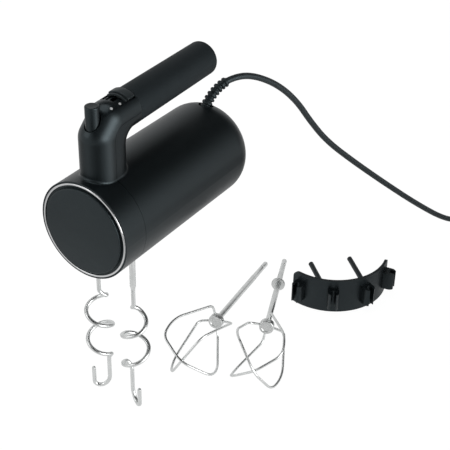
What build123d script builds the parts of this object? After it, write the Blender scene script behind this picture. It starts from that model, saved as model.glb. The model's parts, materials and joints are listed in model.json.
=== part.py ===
"""Hand mixer: motor barrel, handle with eject button and speed slider, two dough hooks in its
sockets, two loose wire beaters, their storage holder and the mains lead.

Millimetres. Pieces are first placed about the barrel: its axis is Y, its front face looks along
-Y and Z is up. The finished pieces are then shifted so that the origin is the middle of the
grip, where a hand holds the mixer.
"""

from build123d import *
import math
import os

# Barrel
BARREL_R = 46.0
BARREL_TAPER = 0.8
BARREL_REAR_R = BARREL_R - BARREL_TAPER
BARREL_LENGTH = 198.0
REAR_CROWN = 3.0
REAR_ROUND = 26.0
WALL = 2.4
COLLAR_LENGTH = 26.0
SEAM_GAP = 0.3
SEAT_GAP = 0.3
FIT = 0.1
SNUG = 0.05
VENTS = 5
VENT_FRONT = 128.0
VENT_STEP = 9.0
VENT_WIDTH = 3.0
VENT_HALF = 13.0

# Front face
LIP = 1.6
RING_WIDTH = 1.9
RING_PROUD = 0.5
FACE_DEPTH = 3.0
LEDGE_THICK = 2.2
LEDGE_WIDTH = 4.6
DISC_GROOVE = 2.3
DISC_PROUD = 2.3
DISC_FLANGE = 2.1
DISC_POCKET = 3.0
DISC_RIM = 3.0
DISC_ROUND = 1.0

# Handle
HANDLE_R = 16.5
COLUMN_FRONT = 7.4
COLUMN_BACK = 49.6
SLOPE_FOOT = 87.0
SLOPE_TOP = 29.0
SLOPE_FOOT_R = 17.0
SLOPE_TOP_R = 18.0
BEND_IN_R = 7.0
BASE_FLARE = 2.5
GRIP_REF_Y = 40.0
GRIP_REF_Z = 91.1
GRIP_TILT = 1.3
GRIP_SEAM = 22.0
GRIP_LENGTH = 113.2
GRIP_END_R = 16.0
GRIP_END_ROUND = 4.5
SLEEVE_THICK = 3.0
CORE_WALL = 2.3
PARTING_ROUND = 12.0

# Controls
BUTTON_R = 6.1
BUTTON_Y = 17.8
BUTTON_TOP = 111.0
BUTTON_BOTTOM = 80.0
BUTTON_ROUND = 0.8
BUTTON_GAP = 0.9
EJECT_TRAVEL = 8.0
ROD_R = 2.5
YOKE_THICK = 4.0
YOKE_WIDTH = 7.0
YOKE_CLEAR = 2.0
PUSH_PIN_R = 2.4
BRACKET_Z = 60.0
BRACKET_THICK = 3.0
SPRING_MEAN_R = 4.3
SPRING_WIRE = 0.9
SPRING_TURNS = 6
SLIDER_LENGTH = 11.2
SLIDER_LIP = 1.6
SLIDER_HALF_ANGLE = 41.0
SLIDER_PROUD = 1.8
SLIDER_LIP_PROUD = 0.7
SLIDER_TRAVEL = 9.3
SLIDER_STOP = 0.2
SLIDER_REAR = 60.3
SLOT_HALF = 6.0
RECESS = 1.5
RECESS_HALF_ANGLE = 42.5
BEZEL_LENGTH = 14.5
BEZEL_PROUD = 0.1
BEZEL_DEPTH = 1.4
BEZEL_HALF_ANGLE = 41.5
TRACK_THICK = 1.2
STEM_HALF = 2.0
STEM_LENGTH = 6.0
SWITCH_HALF = 7.0
SWITCH_LENGTH = 20.0
SWITCH_HEIGHT = 16.0
MARK_R = 1.2
MARK_PROUD = 0.15
MARK_ANGLE = 31.2
MARK_SPOTS = (-7.6, 4.2)

# Drive
SPINDLE_X = 20.0
SPINDLE_Y = 38.2
SPINDLE_R = 5.5
SPINDLE_TOP = 9.6
SPINDLE_BOTTOM = -37.5
BUSH_R = 7.9
BUSH_FLANGE_R = 10.5
BUSH_FLANGE = 1.5
BUSH_MOUTH = 0.5
SHANK_R = 2.8
SHANK_TOP = 7.0
GEAR_MODULE = 1.2
GEAR_TEETH = 24
GEAR_WIDTH = 8.0
HUB_R = 8.0
TOOTH_SHARE = 0.32
WORM_TURNS = 5
WORM_STEPS = 10
ADDENDUM = 0.75
DEDENDUM = 1.25
CASE_CLEAR = 0.5
CASE_FRONT = 19.6
CASE_BACK = 57.0
CASE_BOTTOM = -15.0
CASE_TOP = 8.0
CASE_WALL = 1.6
CASE_RIB = 3.0
COVER_THICK = 2.0
SCREW_R = 1.5
SCREW_HEAD_R = 2.8
SCREW_HEAD = 2.0

# Motor
SHAFT_R = 4.0
SHAFT_TAIL = 15.0
BEARING_R = 9.0
BEARING_LENGTH = 5.6
STATOR_FRONT = 84.0
STATOR_R = 33.0
ROTOR_R = 20.0
ROTOR_GAP = 0.6
ROTOR_SLOTS = 12
ROTOR_SLOT = 3.2
WINDING_OVER = 6.0
WINDING_GAP = 4.0
FIELD_IN = 13.0
FIELD_OUT = 18.0
FAN_FRONT = 64.0
FAN_WIDTH = 9.0
FAN_CLEAR = 2.5
FAN_BLADES = 11
FAN_HUB_R = 8.0
FAN_DISC = 1.5
FAN_BLADE = 1.2
COMMUTATOR_R = 11.0
COMMUTATOR_LENGTH = 10.0
COMMUTATOR_GAP = 5.0
BRUSH_HALF = 3.2
BRACKET_DEPTH = 53.0
REAR_BRACKET_THICK = 4.0
BRACKET_WINDOWS = 6
WINDOW_R = 7.0
WINDOW_SPOT = 22.0
RING_THICK = 6.0
BOLT_INSET = 19.8
LEAD_R = 2.7
LEAD_DEPTH = 9.8
LEAD_STRAIGHT = 3.0
LEAD_BEND_R = 5.0
CLAMP_HALF = 8.0
CLAMP_BEHIND = 5.0
CLAMP_LENGTH = 7.0
CLAMP_UNDER = 3.0

# Dough hooks
HOOK_WIRE_R = 1.95
HOOK_COIL_R = 12.1
HOOK_CENTRE = (-1.0, 0.0)
HOOK_PITCH = 33.5
HOOK_COIL_TOP = -100.0
HOOK_TURNS = 2
HOOK_FACING = 33.5
SHANK_BOTTOM = -72.0
HOOK_LEG = (6.1, 2.5)
HOOK_END = (-7.5, -4.6)
HOOK_BEND = 13.0
HOOK_BEND_SHARE = 0.7
HOOK_BOTTOM = -207.8
HOOK_TIP = -185.5

# Beaters
BEATER_SHAFT = 142.0
BEATER_SHAFT_R = 3.0
BEATER_SHANK_R = 2.8
BEATER_SHANK = 36.0
BEATER_HUB_R = 7.6
BEATER_HUB = 8.0
BEATER_WIRE_R = 1.25
BEATER_APEX = 88.2
BEATER_WELD_R = 0.9
BEATER_UNDER = 4.25
BEATER_CORNERS = [(19.0, 0.0, 3.0), (35.6, 0.63, 55.0), (29.2, 0.82, 75.0)]
BEATER_ROUNDS = [7.0, 45.0, 14.0]
BEATER_TOP_ROUND = 24.0
BEATER_LEFT_HUB = (17.2, 176.5, -201.0)
BEATER_LEFT_TURN = (-1.38, 0.13, 1.79)
BEATER_RIGHT_HUB = (64.8, 198.9, -200.5)
BEATER_RIGHT_TURN = (-1.15, 0.11, 2.97)
COLLAR_R = 7.4
COLLAR_THICK = 2.6
COLLAR_SPOT = 17.0

# Storage holder
HOLDER_R = 61.0
HOLDER_WALL = 3.0
HOLDER_HEIGHT = 40.0
HOLDER_HALF_SPAN = 62.0
HOLDER_FACING = -41.6
HOLDER_CENTRE = (63.0, 336.0)
HOLDER_CORNER = 7.0
HOLDER_PIN = 58.5
HOLDER_BOSS = 8.0
HOLDER_BOSS_R = 4.2
HOLDER_PIN_SPREAD = 22.6
CLIP_STEP = 34.7
CLIP_HEIGHT = 20.5
CLIP_BASE = 9.5
CLIP_R = 3.2
CLIP_WALL = 2.8
CLIP_STAND = 6.0
CLIP_OPEN = 5.4

# Mains lead
TABLE_Z = -222.0
CORD_R = 3.1
BOOT_FORWARD = 21.0
BOOT_SINK = 4.7
BOOT_BASE = (0.0, BARREL_LENGTH - BOOT_FORWARD, BARREL_REAR_R - BOOT_SINK)
BOOT_R = 5.2
BOOT_GROOVE = 1.0
BOOT_RIBS = 8
BOOT_TAPER = 0.05
BOOT_LENGTH = 34.0
BOOT_RISE = (68.0, 15.0)
BOOT_FLANGE_R = 6.6
BOOT_FLANGE = 2.5
BOOT_ROOT = (3.0, -6.0)
BOOT_SEAT = -2.6
BOOT_INSIDE = 14.0
CORD_HOLE_R = 7.2
CORD_HEADING = 68.8
CORD_ROUTE = [
    (0.0, 0.0), (11.6, 2.2), (33.0, -3.6), (60.0, -20.3), (84.0, -44.2), (104.0, -73.7), (127.0, -102.7),
    (162.0, -135.7), (214.0, -181.7), (268.0, -227.7), (318.0, -266.5)]
CORD_FLOOR = (350.0, 384.0)
COIL_R = 34.0
COIL_STEP = 6.9
COIL_RISE = 6.8
COIL_DRAW_IN = 1.2
COIL_LAYER_TURNS = 2.25
COIL_EXIT = 10.0
TIE_THICK = 1.0
TIE_WIDTH = 8.0
PLUG_LENGTH = 36.0
PLUG_WIDTH = 26.0
PLUG_HEIGHT = 14.0
PLUG_PIN_R = 2.0
PLUG_PIN_SPACING = 18.6
PLUG_PIN_LENGTH = 19.0
PLUG_PIN_ROOT = 8.0
PLUG_ROUND = 4.0

GRIP_MID = GRIP_SEAM + GRIP_LENGTH / 2
ORIGIN = (
    0.0,
    GRIP_REF_Y + GRIP_MID * math.cos(math.radians(GRIP_TILT)),
    GRIP_REF_Z + GRIP_MID * math.sin(math.radians(GRIP_TILT)))


def save(name, shape):
    """Write one node, shifted so that the middle of the grip is the origin."""
    moved = Pos(-ORIGIN[0], -ORIGIN[1], -ORIGIN[2]) * shape
    export_step(moved, "parts/" + name + ".step")


def cyl_z(radius, bottom, top, x=0.0, y=0.0):
    """Upright cylinder."""
    low = (Align.CENTER, Align.CENTER, Align.MIN)
    return Pos(x, y, bottom) * Cylinder(radius, top - bottom, align=low)


def cyl_y(radius, front, back, x=0.0, z=0.0):
    """Cylinder along Y."""
    low = (Align.CENTER, Align.CENTER, Align.MIN)
    return Pos(x, front, z) * Rot(-90, 0, 0) * Cylinder(radius, back - front, align=low)


def block(x0, x1, y0, y1, z0, z1):
    """Box between two corners."""
    low = (Align.MIN, Align.MIN, Align.MIN)
    return Pos(x0, y0, z0) * Box(x1 - x0, y1 - y0, z1 - z0, align=low)


def turned(points):
    """Solid of revolution about Y from (radius, y) corners."""
    return revolve(make_face(Polyline(*points, close=True)), axis=Axis.Y)


def bar(start, end, width, bottom, top):
    """Flat bar with round ends between two points of a level plane."""
    run = Vector(*end) - Vector(*start)
    middle = (Vector(*start) + Vector(*end)) * 0.5
    heading = math.degrees(math.atan2(run.Y, run.X))
    flat = Pos(middle.X, middle.Y) * Rot(0, 0, heading) * SlotCenterToCenter(run.length, width)
    return Pos(0, 0, bottom) * extrude(flat, amount=top - bottom)


def biarc(start, start_dir, end, end_dir):
    """Two tangent arcs from one point and direction to another."""
    across = end - start
    both = start_dir + end_dir
    bend = 2 * (1 - start_dir.dot(end_dir))
    along = across.dot(both)
    if bend < 1e-9:
        reach = across.dot(across) / (2 * along)
    else:
        reach = (math.sqrt(along * along + bend * across.dot(across)) - along) / bend
    first = start + start_dir * reach
    last = end - end_dir * reach
    joint = (first + last) * 0.5
    middle_dir = (last - first).normalized()
    return [TangentArc(start, joint, tangent=start_dir), TangentArc(joint, end, tangent=middle_dir)]


def biarc_run(stations):
    """Edges through (point, direction) stations."""
    edges = []
    for (start, start_dir), (end, end_dir) in zip(stations, stations[1:]):
        straight = (end - start).normalized()
        if straight.dot(start_dir) > 1 - 1e-7 and straight.dot(end_dir) > 1 - 1e-7:
            edges.append(Line(start, end))
        else:
            edges.extend(biarc(start, start_dir, end, end_dir))
    return edges


def round_bar(edges, radius):
    """Round bar swept along a chain of edges."""
    path = Wire(edges)
    across = Plane(origin=path @ 0, z_dir=path % 0) * Circle(radius)
    return sweep(across, path=path)


def least_gap(edges, radius, turn_length):
    """Smallest clear distance between stretches of a wound bar that lie a turn or so apart."""
    path = Wire(edges)
    count = int(path.length / radius) + 1
    spots = [path @ (k / count) for k in range(count + 1)]
    skip = int(0.4 * turn_length / path.length * count)
    gaps = [(spots[a] - spots[b]).length for a in range(len(spots)) for b in range(a + skip, len(spots))]
    return min(gaps) - 2 * radius


def barrel_r(y):
    """Outer radius of the barrel, which tapers to the rear."""
    return BARREL_R - BARREL_TAPER * y / BARREL_LENGTH


def bore_r(y):
    """Radius of a piece that sits in the barrel with its seat gap."""
    return barrel_r(y) - WALL - SEAT_GAP


def barrel_solid(inset, front):
    """Barrel with a crowned, rounded rear, drawn in by an inset."""
    rear = BARREL_LENGTH - inset
    shoulder = (BARREL_REAR_R - inset, rear - REAR_CROWN)
    lines = Polyline((0, rear), (0, front), (barrel_r(front) - inset, front), shoulder)
    crown = TangentArc((0, rear), shoulder, tangent=(1, 0))
    solid = revolve(make_face(lines + crown), axis=Axis.Y)
    corner = solid.edges().filter_by(lambda e: e.is_closed).sort_by(Axis.Y)[-1]
    return fillet(corner, REAR_ROUND - inset)


def grip_at(along, off):
    """(y, z) at a distance along the grip's axis and off it, upwards."""
    tilt = math.radians(GRIP_TILT)
    y = GRIP_REF_Y + along * math.cos(tilt) - off * math.sin(tilt)
    return y, GRIP_REF_Z + along * math.sin(tilt) + off * math.cos(tilt)


def grip_line(off, y):
    """(y, z) where a line beside the grip's axis passes a given y."""
    start_y, start_z = grip_at(0, off)
    return y, start_z + (y - start_y) * math.tan(math.radians(GRIP_TILT))


def on_grip(shape):
    """Place a shape that was made about Y with y measured along the grip's axis."""
    return Pos(0, GRIP_REF_Y, GRIP_REF_Z) * Rot(GRIP_TILT, 0, 0) * shape


def yz_plate(corners, rounds, half):
    """Plate across X from (y, z) corners, with some of them rounded."""
    face = Plane.YZ * make_face(Polyline(*corners, close=True))
    for index, radius in rounds.items():
        y, z = corners[index]
        corner = min(face.vertices(), key=lambda v: math.hypot(v.Y - y, v.Z - z))
        face = fillet([corner], radius)
    return extrude(face, amount=half, both=True)


def slope_ends(inset):
    """(y, z) corners of the slope at the handle's upper front, drawn in by an inset."""
    foot = Vector(COLUMN_FRONT, SLOPE_FOOT)
    head = Vector(*grip_line(HANDLE_R, SLOPE_TOP))
    slope = (head - foot).normalized()
    into = Vector(slope.Y, -slope.X)
    tilt = math.radians(GRIP_TILT)
    foot_in = (Vector(1, 0) + into) * (inset / (1 + into.X))
    down = Vector(math.sin(tilt), -math.cos(tilt))
    head_in = (down + into) * (inset / (1 + down.dot(into)))
    foot += foot_in
    head += head_in
    return (foot.X, foot.Y), (head.X, head.Y)


def handle_solid(inset, bottom, seam):
    """Column, bend and stub of the handle up to the grip seam, with fully rounded sides."""
    back = COLUMN_BACK - inset
    half = HANDLE_R - inset
    foot, head = slope_ends(inset)
    corners = [
        (foot[0], bottom), foot, head, grip_at(seam, half),
        grip_at(seam, -half), grip_line(-half, back), (back, bottom)]
    solid = yz_plate(corners, {1: SLOPE_FOOT_R - inset, 2: SLOPE_TOP_R - inset, 5: BEND_IN_R + inset}, half)
    seam_y, seam_z = grip_at(seam, 0)
    sides = [
        e for e in solid.edges()
        if abs(abs(e.center().X) - half) < 1e-3
        and e.center().Z > bottom + 0.5
        and math.hypot(e.center().Y - seam_y, e.center().Z - seam_z) > 1]
    return fillet(sides, half - 0.2)


def grip_arch(inner, outer, front, back, half_angle):
    """Arched plate over the top of the handle, y measured along the grip's axis."""
    start = math.radians(90 - half_angle)
    end = math.radians(90 + half_angle)
    reach = outer * 1.6
    wedge = make_face(Polyline(
        (0, 0), (reach * math.cos(start), reach * math.sin(start)), (0, reach * 1.4),
        (reach * math.cos(end), reach * math.sin(end)), close=True))
    wedge = Rot(90, 0, 0) * wedge
    wedge = Pos(0, back, 0) * extrude(wedge, amount=back - front)
    return (cyl_y(outer, front, back) - cyl_y(inner, front - 1, back + 1)) & wedge


# Housing shells
slider_rear = SLIDER_REAR - GRIP_REF_Y
slider_front = slider_rear - SLIDER_LENGTH - SLIDER_LIP
slot_front = slider_front - SLIDER_TRAVEL - SLIDER_STOP
bezel_front = slot_front - BEZEL_LENGTH
recess_floor = HANDLE_R - RECESS
handle_inner_r = HANDLE_R - WALL
spindles = {"left": -SPINDLE_X, "right": SPINDLE_X}


def housing_region(shift):
    """Everything in front of and above the parting line, with the line moved by a shift."""
    line_y = COLLAR_LENGTH + shift
    corner = grip_line(-shift, line_y)
    past = grip_line(-shift, GRIP_REF_Y + GRIP_SEAM + 10)
    top = BUTTON_TOP + 30
    corners = [(-10, -2 * BARREL_R), (line_y, -2 * BARREL_R), corner, past, (past[0], top), (-10, top)]
    return yz_plate(corners, {2: PARTING_ROUND - shift}, 2 * BARREL_R)


def boot_point(along):
    """Point and direction on the strain relief's bent centre line."""
    start, end = (math.radians(a) for a in BOOT_RISE)
    bend_r = BOOT_LENGTH / (start - end)
    rise = start - along / bend_r
    heading = math.radians(CORD_HEADING)
    out = bend_r * (math.sin(start) - math.sin(rise))
    up = bend_r * (math.cos(rise) - math.cos(start))
    level = Vector(math.cos(heading), math.sin(heading), 0)
    point = Vector(*BOOT_BASE) + level * out + Vector(0, 0, up)
    return point, level * math.cos(rise) + Vector(0, 0, math.sin(rise))


def build_housing():
    """Front and rear shells, cut from one body along the parting line."""
    outer = barrel_solid(0, 0) + handle_solid(0, BARREL_R / 2, GRIP_SEAM)
    foot = [
        e for e in outer.edges()
        if COLUMN_FRONT - 1 < e.center().Y < COLUMN_BACK + 1
        and BARREL_R * 0.8 < e.center().Z < BARREL_R + 1
        and abs(e.center().X) < HANDLE_R + 1]
    outer = fillet(foot, BASE_FLARE)
    hollow = barrel_solid(WALL, FACE_DEPTH + LEDGE_THICK) + handle_solid(WALL, BARREL_R / 3, GRIP_SEAM + 2)
    shell = outer - hollow
    shell -= cyl_y(BARREL_R - LIP, -1, FACE_DEPTH)
    shell -= cyl_y(BARREL_R - LIP - LEDGE_WIDTH, 0, FACE_DEPTH + LEDGE_THICK + 1)
    front = shell & housing_region(-SEAM_GAP / 2)
    front -= cyl_z(BUTTON_R + BUTTON_GAP, BUTTON_BOTTOM, BUTTON_TOP + 10, 0, BUTTON_Y)
    slot = block(-SLOT_HALF, SLOT_HALF, slot_front, slider_rear - 0.8, 0, 2 * HANDLE_R)
    slot += grip_arch(recess_floor, 2 * HANDLE_R, slot_front, slider_rear + SLIDER_STOP, RECESS_HALF_ANGLE)
    front -= on_grip(slot)
    front -= bezel_solid(SNUG)
    rear = shell - housing_region(SEAM_GAP / 2)
    for x in spindles.values():
        rear -= cyl_z(BUSH_R + FIT, -BARREL_R - 1, CASE_BOTTOM, x, SPINDLE_Y)
    base, lean = boot_point(0)
    rear -= Plane(origin=base - lean * 10, z_dir=lean) * Cylinder(
        CORD_HOLE_R, 30, align=(Align.CENTER, Align.CENTER, Align.MIN))
    for k in range(VENTS):
        y = VENT_FRONT + VENT_STEP * k
        rear -= block(-VENT_HALF, VENT_HALF, y, y + VENT_WIDTH, -BARREL_R - 1, -BARREL_R / 2)
    save("front_housing", front)
    save("barrel_housing", rear)


def bezel_solid(gap):
    """Cover between the button and the slot, let into the handle and grown by a gap."""
    reach = grip_arch(HANDLE_R / 2, 2 * HANDLE_R, bezel_front - gap, slot_front, BEZEL_HALF_ANGLE)
    return on_grip(reach) & handle_skin(-BEZEL_DEPTH - gap, BEZEL_PROUD + gap)


def handle_skin(inner, outer):
    """Shell that follows the handle's surface between two heights over it."""
    return handle_solid(-outer, BARREL_R / 2, GRIP_SEAM) - handle_solid(-inner, BARREL_R / 2, GRIP_SEAM)


def build_face():
    """Chrome ring and plain disc on the front."""
    ring_out = BARREL_R - LIP - SNUG
    ring_in = ring_out - RING_WIDTH
    ring = turned([
        (ring_in, FACE_DEPTH), (ring_out, FACE_DEPTH), (ring_out, -RING_PROUD), (ring_in, -RING_PROUD)])
    rims = ring.edges().filter_by(GeomType.CIRCLE).group_by(Axis.Y)[0]
    save("trim_ring", fillet(rims, RING_WIDTH * 0.4))
    flange_r = ring_in - SNUG
    disc_r = flange_r - DISC_GROOVE
    disc = turned([
        (0, FACE_DEPTH - DISC_POCKET), (disc_r - DISC_RIM, FACE_DEPTH - DISC_POCKET),
        (disc_r - DISC_RIM, FACE_DEPTH), (flange_r, FACE_DEPTH), (flange_r, FACE_DEPTH - DISC_FLANGE),
        (disc_r, FACE_DEPTH - DISC_FLANGE), (disc_r, -DISC_PROUD), (0, -DISC_PROUD)])
    rim = disc.edges().filter_by(GeomType.CIRCLE).sort_by(Axis.Y)[0]
    save("front_disc", fillet(rim, DISC_ROUND))


def build_grip():
    """Core tube with a tray for the switch, and the soft sleeve over it."""
    end = GRIP_SEAM + GRIP_LENGTH
    core_r = HANDLE_R - SLEEVE_THICK
    taper = HANDLE_R - GRIP_END_R
    core_end_r = core_r - taper
    start = GRIP_SEAM + SEAM_GAP
    stop = end - SLEEVE_THICK - FIT
    sleeve = turned([
        (core_r + SNUG, start), (HANDLE_R, start), (GRIP_END_R, end), (0, end),
        (0, end - SLEEVE_THICK), (core_end_r + SNUG, end - SLEEVE_THICK)])
    rim = sleeve.edges().filter_by(GeomType.CIRCLE).sort_by(Axis.Y)[-1]
    save("grip_sleeve", on_grip(fillet(rim, GRIP_END_ROUND)))
    core = turned([
        (core_r - CORE_WALL, start), (core_r, start), (core_end_r, stop), (core_end_r - CORE_WALL, stop)])
    tray_front = slider_rear - STEM_LENGTH - SLIDER_TRAVEL
    tray = cyl_y(handle_inner_r - SEAT_GAP, tray_front, start) + cyl_y(core_r - SNUG, start, start + 4)
    tray &= block(-HANDLE_R, HANDLE_R, 0, end, -HANDLE_R, -SWITCH_HALF)
    save("grip_core", on_grip(core + tray))


def build_controls():
    """Bezel, slider, its track, the switch and the two speed marks."""
    hole = cyl_z(BUTTON_R + BUTTON_GAP, BUTTON_BOTTOM, BUTTON_TOP + 10, 0, BUTTON_Y)
    save("control_bezel", bezel_solid(0) - hole)
    gap = SEAT_GAP
    lip_back = slider_front + SLIDER_LIP
    under = recess_floor + gap
    cap = grip_arch(under, HANDLE_R + SLIDER_PROUD, lip_back, slider_rear, SLIDER_HALF_ANGLE)
    lip = grip_arch(under, HANDLE_R + SLIDER_LIP_PROUD, slider_front, lip_back, SLIDER_HALF_ANGLE)
    switch_top = SWITCH_HEIGHT - SWITCH_HALF
    stem_back = slider_rear - 2.0
    stem = block(-STEM_HALF, STEM_HALF, stem_back - STEM_LENGTH, stem_back, switch_top + gap, under + 0.5)
    save("speed_slider", on_grip(cap + lip + stem))
    track_out = handle_inner_r - FIT
    track = grip_arch(track_out - TRACK_THICK, track_out, slot_front - 2, GRIP_SEAM - 0.5, 45)
    slit_front = stem_back - STEM_LENGTH - SLIDER_TRAVEL - 0.5
    track -= block(-STEM_HALF - gap, STEM_HALF + gap, slit_front, stem_back + 0.5, 0, HANDLE_R)
    save("slider_track", on_grip(track))
    switch_front = slider_rear - SWITCH_LENGTH
    switch = block(-SWITCH_HALF, SWITCH_HALF, switch_front, slider_rear, -SWITCH_HALF, switch_top)
    lengthwise = switch.edges().filter_by(Axis.Y)
    save("speed_switch", on_grip(fillet(lengthwise, 1.0)))
    floor_skin = cyl_y(recess_floor + MARK_PROUD, 0, GRIP_SEAM) - cyl_y(recess_floor, 0, GRIP_SEAM)
    skins = (handle_skin(BEZEL_PROUD, BEZEL_PROUD + MARK_PROUD), on_grip(floor_skin))
    marks = []
    for along, skin in zip(MARK_SPOTS, skins):
        stud = Pos(0, along, 0) * Rot(0, MARK_ANGLE, 0) * cyl_z(MARK_R, HANDLE_R / 2, 2 * HANDLE_R)
        marks.append(on_grip(stud) & skin)
    save("speed_marks", Compound(children=marks))


def build_eject():
    """Eject button with its rod and yoke, the bracket that guides the rod and the return spring."""
    button = cyl_z(BUTTON_R, BUTTON_BOTTOM, BUTTON_TOP, 0, BUTTON_Y)
    rim = button.edges().filter_by(GeomType.CIRCLE).sort_by(Axis.Z)[-1]
    save("eject_button", fillet(rim, BUTTON_ROUND))
    rod_bottom = yoke_z + YOKE_THICK
    save("eject_rod", cyl_z(ROD_R, rod_bottom, BUTTON_BOTTOM, 0, BUTTON_Y))
    yoke = None
    for x in spindles.values():
        arm = bar((0, BUTTON_Y), (x, SPINDLE_Y), YOKE_WIDTH, yoke_z, rod_bottom)
        arm += cyl_z(PUSH_PIN_R, SHANK_TOP + SEAT_GAP, yoke_z + 1, x, SPINDLE_Y)
        yoke = arm if yoke is None else yoke + arm
    save("eject_yoke", yoke)
    plate = handle_solid(WALL + SEAT_GAP, BARREL_R / 3, GRIP_SEAM)
    plate &= block(-HANDLE_R, HANDLE_R, 0, COLUMN_BACK, BRACKET_Z, BRACKET_Z + BRACKET_THICK)
    plate -= cyl_z(ROD_R + FIT, BRACKET_Z - 1, BRACKET_Z + BRACKET_THICK + 1, 0, BUTTON_Y)
    plate -= cyl_z(LEAD_R + FIT, BRACKET_Z - 1, BRACKET_Z + BRACKET_THICK + 1, 0, lead_column_y)
    save("eject_bracket", plate)
    edges = spring_edges()
    print("eject spring least gap", round(least_gap(edges, SPRING_WIRE / 2, 2 * math.pi * SPRING_MEAN_R), 2))
    save("eject_spring", round_bar(edges, SPRING_WIRE / 2))


def spring_edges():
    """Helix between the bracket and the button's underside, a quarter turn at a time."""
    bottom = BRACKET_Z + BRACKET_THICK + SPRING_WIRE / 2
    top = BUTTON_BOTTOM - SPRING_WIRE / 2
    stations = []
    climb = (top - bottom) / SPRING_TURNS
    for k in range(4 * SPRING_TURNS + 1):
        a = math.pi / 2 * k
        x = SPRING_MEAN_R * math.cos(a)
        y = BUTTON_Y + SPRING_MEAN_R * math.sin(a)
        point = Vector(x, y, bottom + climb * k / 4)
        way = Vector(-math.sin(a), math.cos(a), climb / (2 * math.pi * SPRING_MEAN_R)).normalized()
        stations.append((point, way))
    return biarc_run(stations)


# Drive
gear_r = GEAR_MODULE * GEAR_TEETH / 2
case_half = SPINDLE_X + gear_r + ADDENDUM * GEAR_MODULE + CASE_CLEAR + CASE_WALL
worm_r = SPINDLE_X - gear_r
tooth_pitch = math.pi * GEAR_MODULE
lead_column_y = COLUMN_BACK - WALL - 7.0
lead_z = BARREL_R - LEAD_DEPTH
fan_r = lead_z - LEAD_R - FAN_CLEAR
bolt_spot = BARREL_R - BOLT_INSET
bracket_front = BARREL_LENGTH - BRACKET_DEPTH
seat_back = bracket_front + REAR_BRACKET_THICK
commutator_front = bracket_front - COMMUTATOR_GAP - COMMUTATOR_LENGTH
stator_back = commutator_front - WINDING_GAP - WINDING_OVER
yoke_z = CASE_TOP + COVER_THICK + EJECT_TRAVEL + YOKE_CLEAR


def worm_thread():
    """Single-start thread as a ruled loft of trapezoids along a helix."""
    root = worm_r - DEDENDUM * GEAR_MODULE - 0.3
    tip = worm_r + ADDENDUM * GEAR_MODULE
    half = tooth_pitch * TOOTH_SHARE / 2
    slope = 0.35
    sections = []
    for k in range(-WORM_TURNS * WORM_STEPS // 2, WORM_TURNS * WORM_STEPS // 2 + 1):
        turn = k / WORM_STEPS
        outline = make_face(Polyline(
            (root, -half - slope * (worm_r - root)), (tip, -half + slope * (tip - worm_r)),
            (tip, half - slope * (tip - worm_r)), (root, half + slope * (worm_r - root)), close=True))
        sections.append(Pos(0, SPINDLE_Y + turn * tooth_pitch, 0) * Rot(0, -360 * turn, 0) * outline)
    return loft(sections, ruled=True)


def gear_wheel(phase):
    """Worm wheel blank with straight teeth and a hub, about Z."""
    tip = gear_r + ADDENDUM * GEAR_MODULE
    root = gear_r - DEDENDUM * GEAR_MODULE
    half = tooth_pitch * TOOTH_SHARE / 2
    slope = 0.35
    tooth = make_face(Polyline(
        (root - 0.5, -half - slope * (gear_r - root)), (tip, -half + slope * (tip - gear_r)),
        (tip, half - slope * (tip - gear_r)), (root - 0.5, half + slope * (gear_r - root)), close=True))
    flat = Circle(root)
    for k in range(GEAR_TEETH):
        flat += Rot(0, 0, phase + 360 * k / GEAR_TEETH) * tooth
    wheel = Pos(0, 0, -GEAR_WIDTH / 2) * extrude(flat, amount=GEAR_WIDTH)
    hub_bottom = CASE_BOTTOM + 2 + BUSH_FLANGE + 0.2
    wheel += cyl_z(HUB_R, hub_bottom, GEAR_WIDTH / 2)
    return wheel - cyl_z(SPINDLE_R + SNUG, hub_bottom - 1, GEAR_WIDTH)


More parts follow.
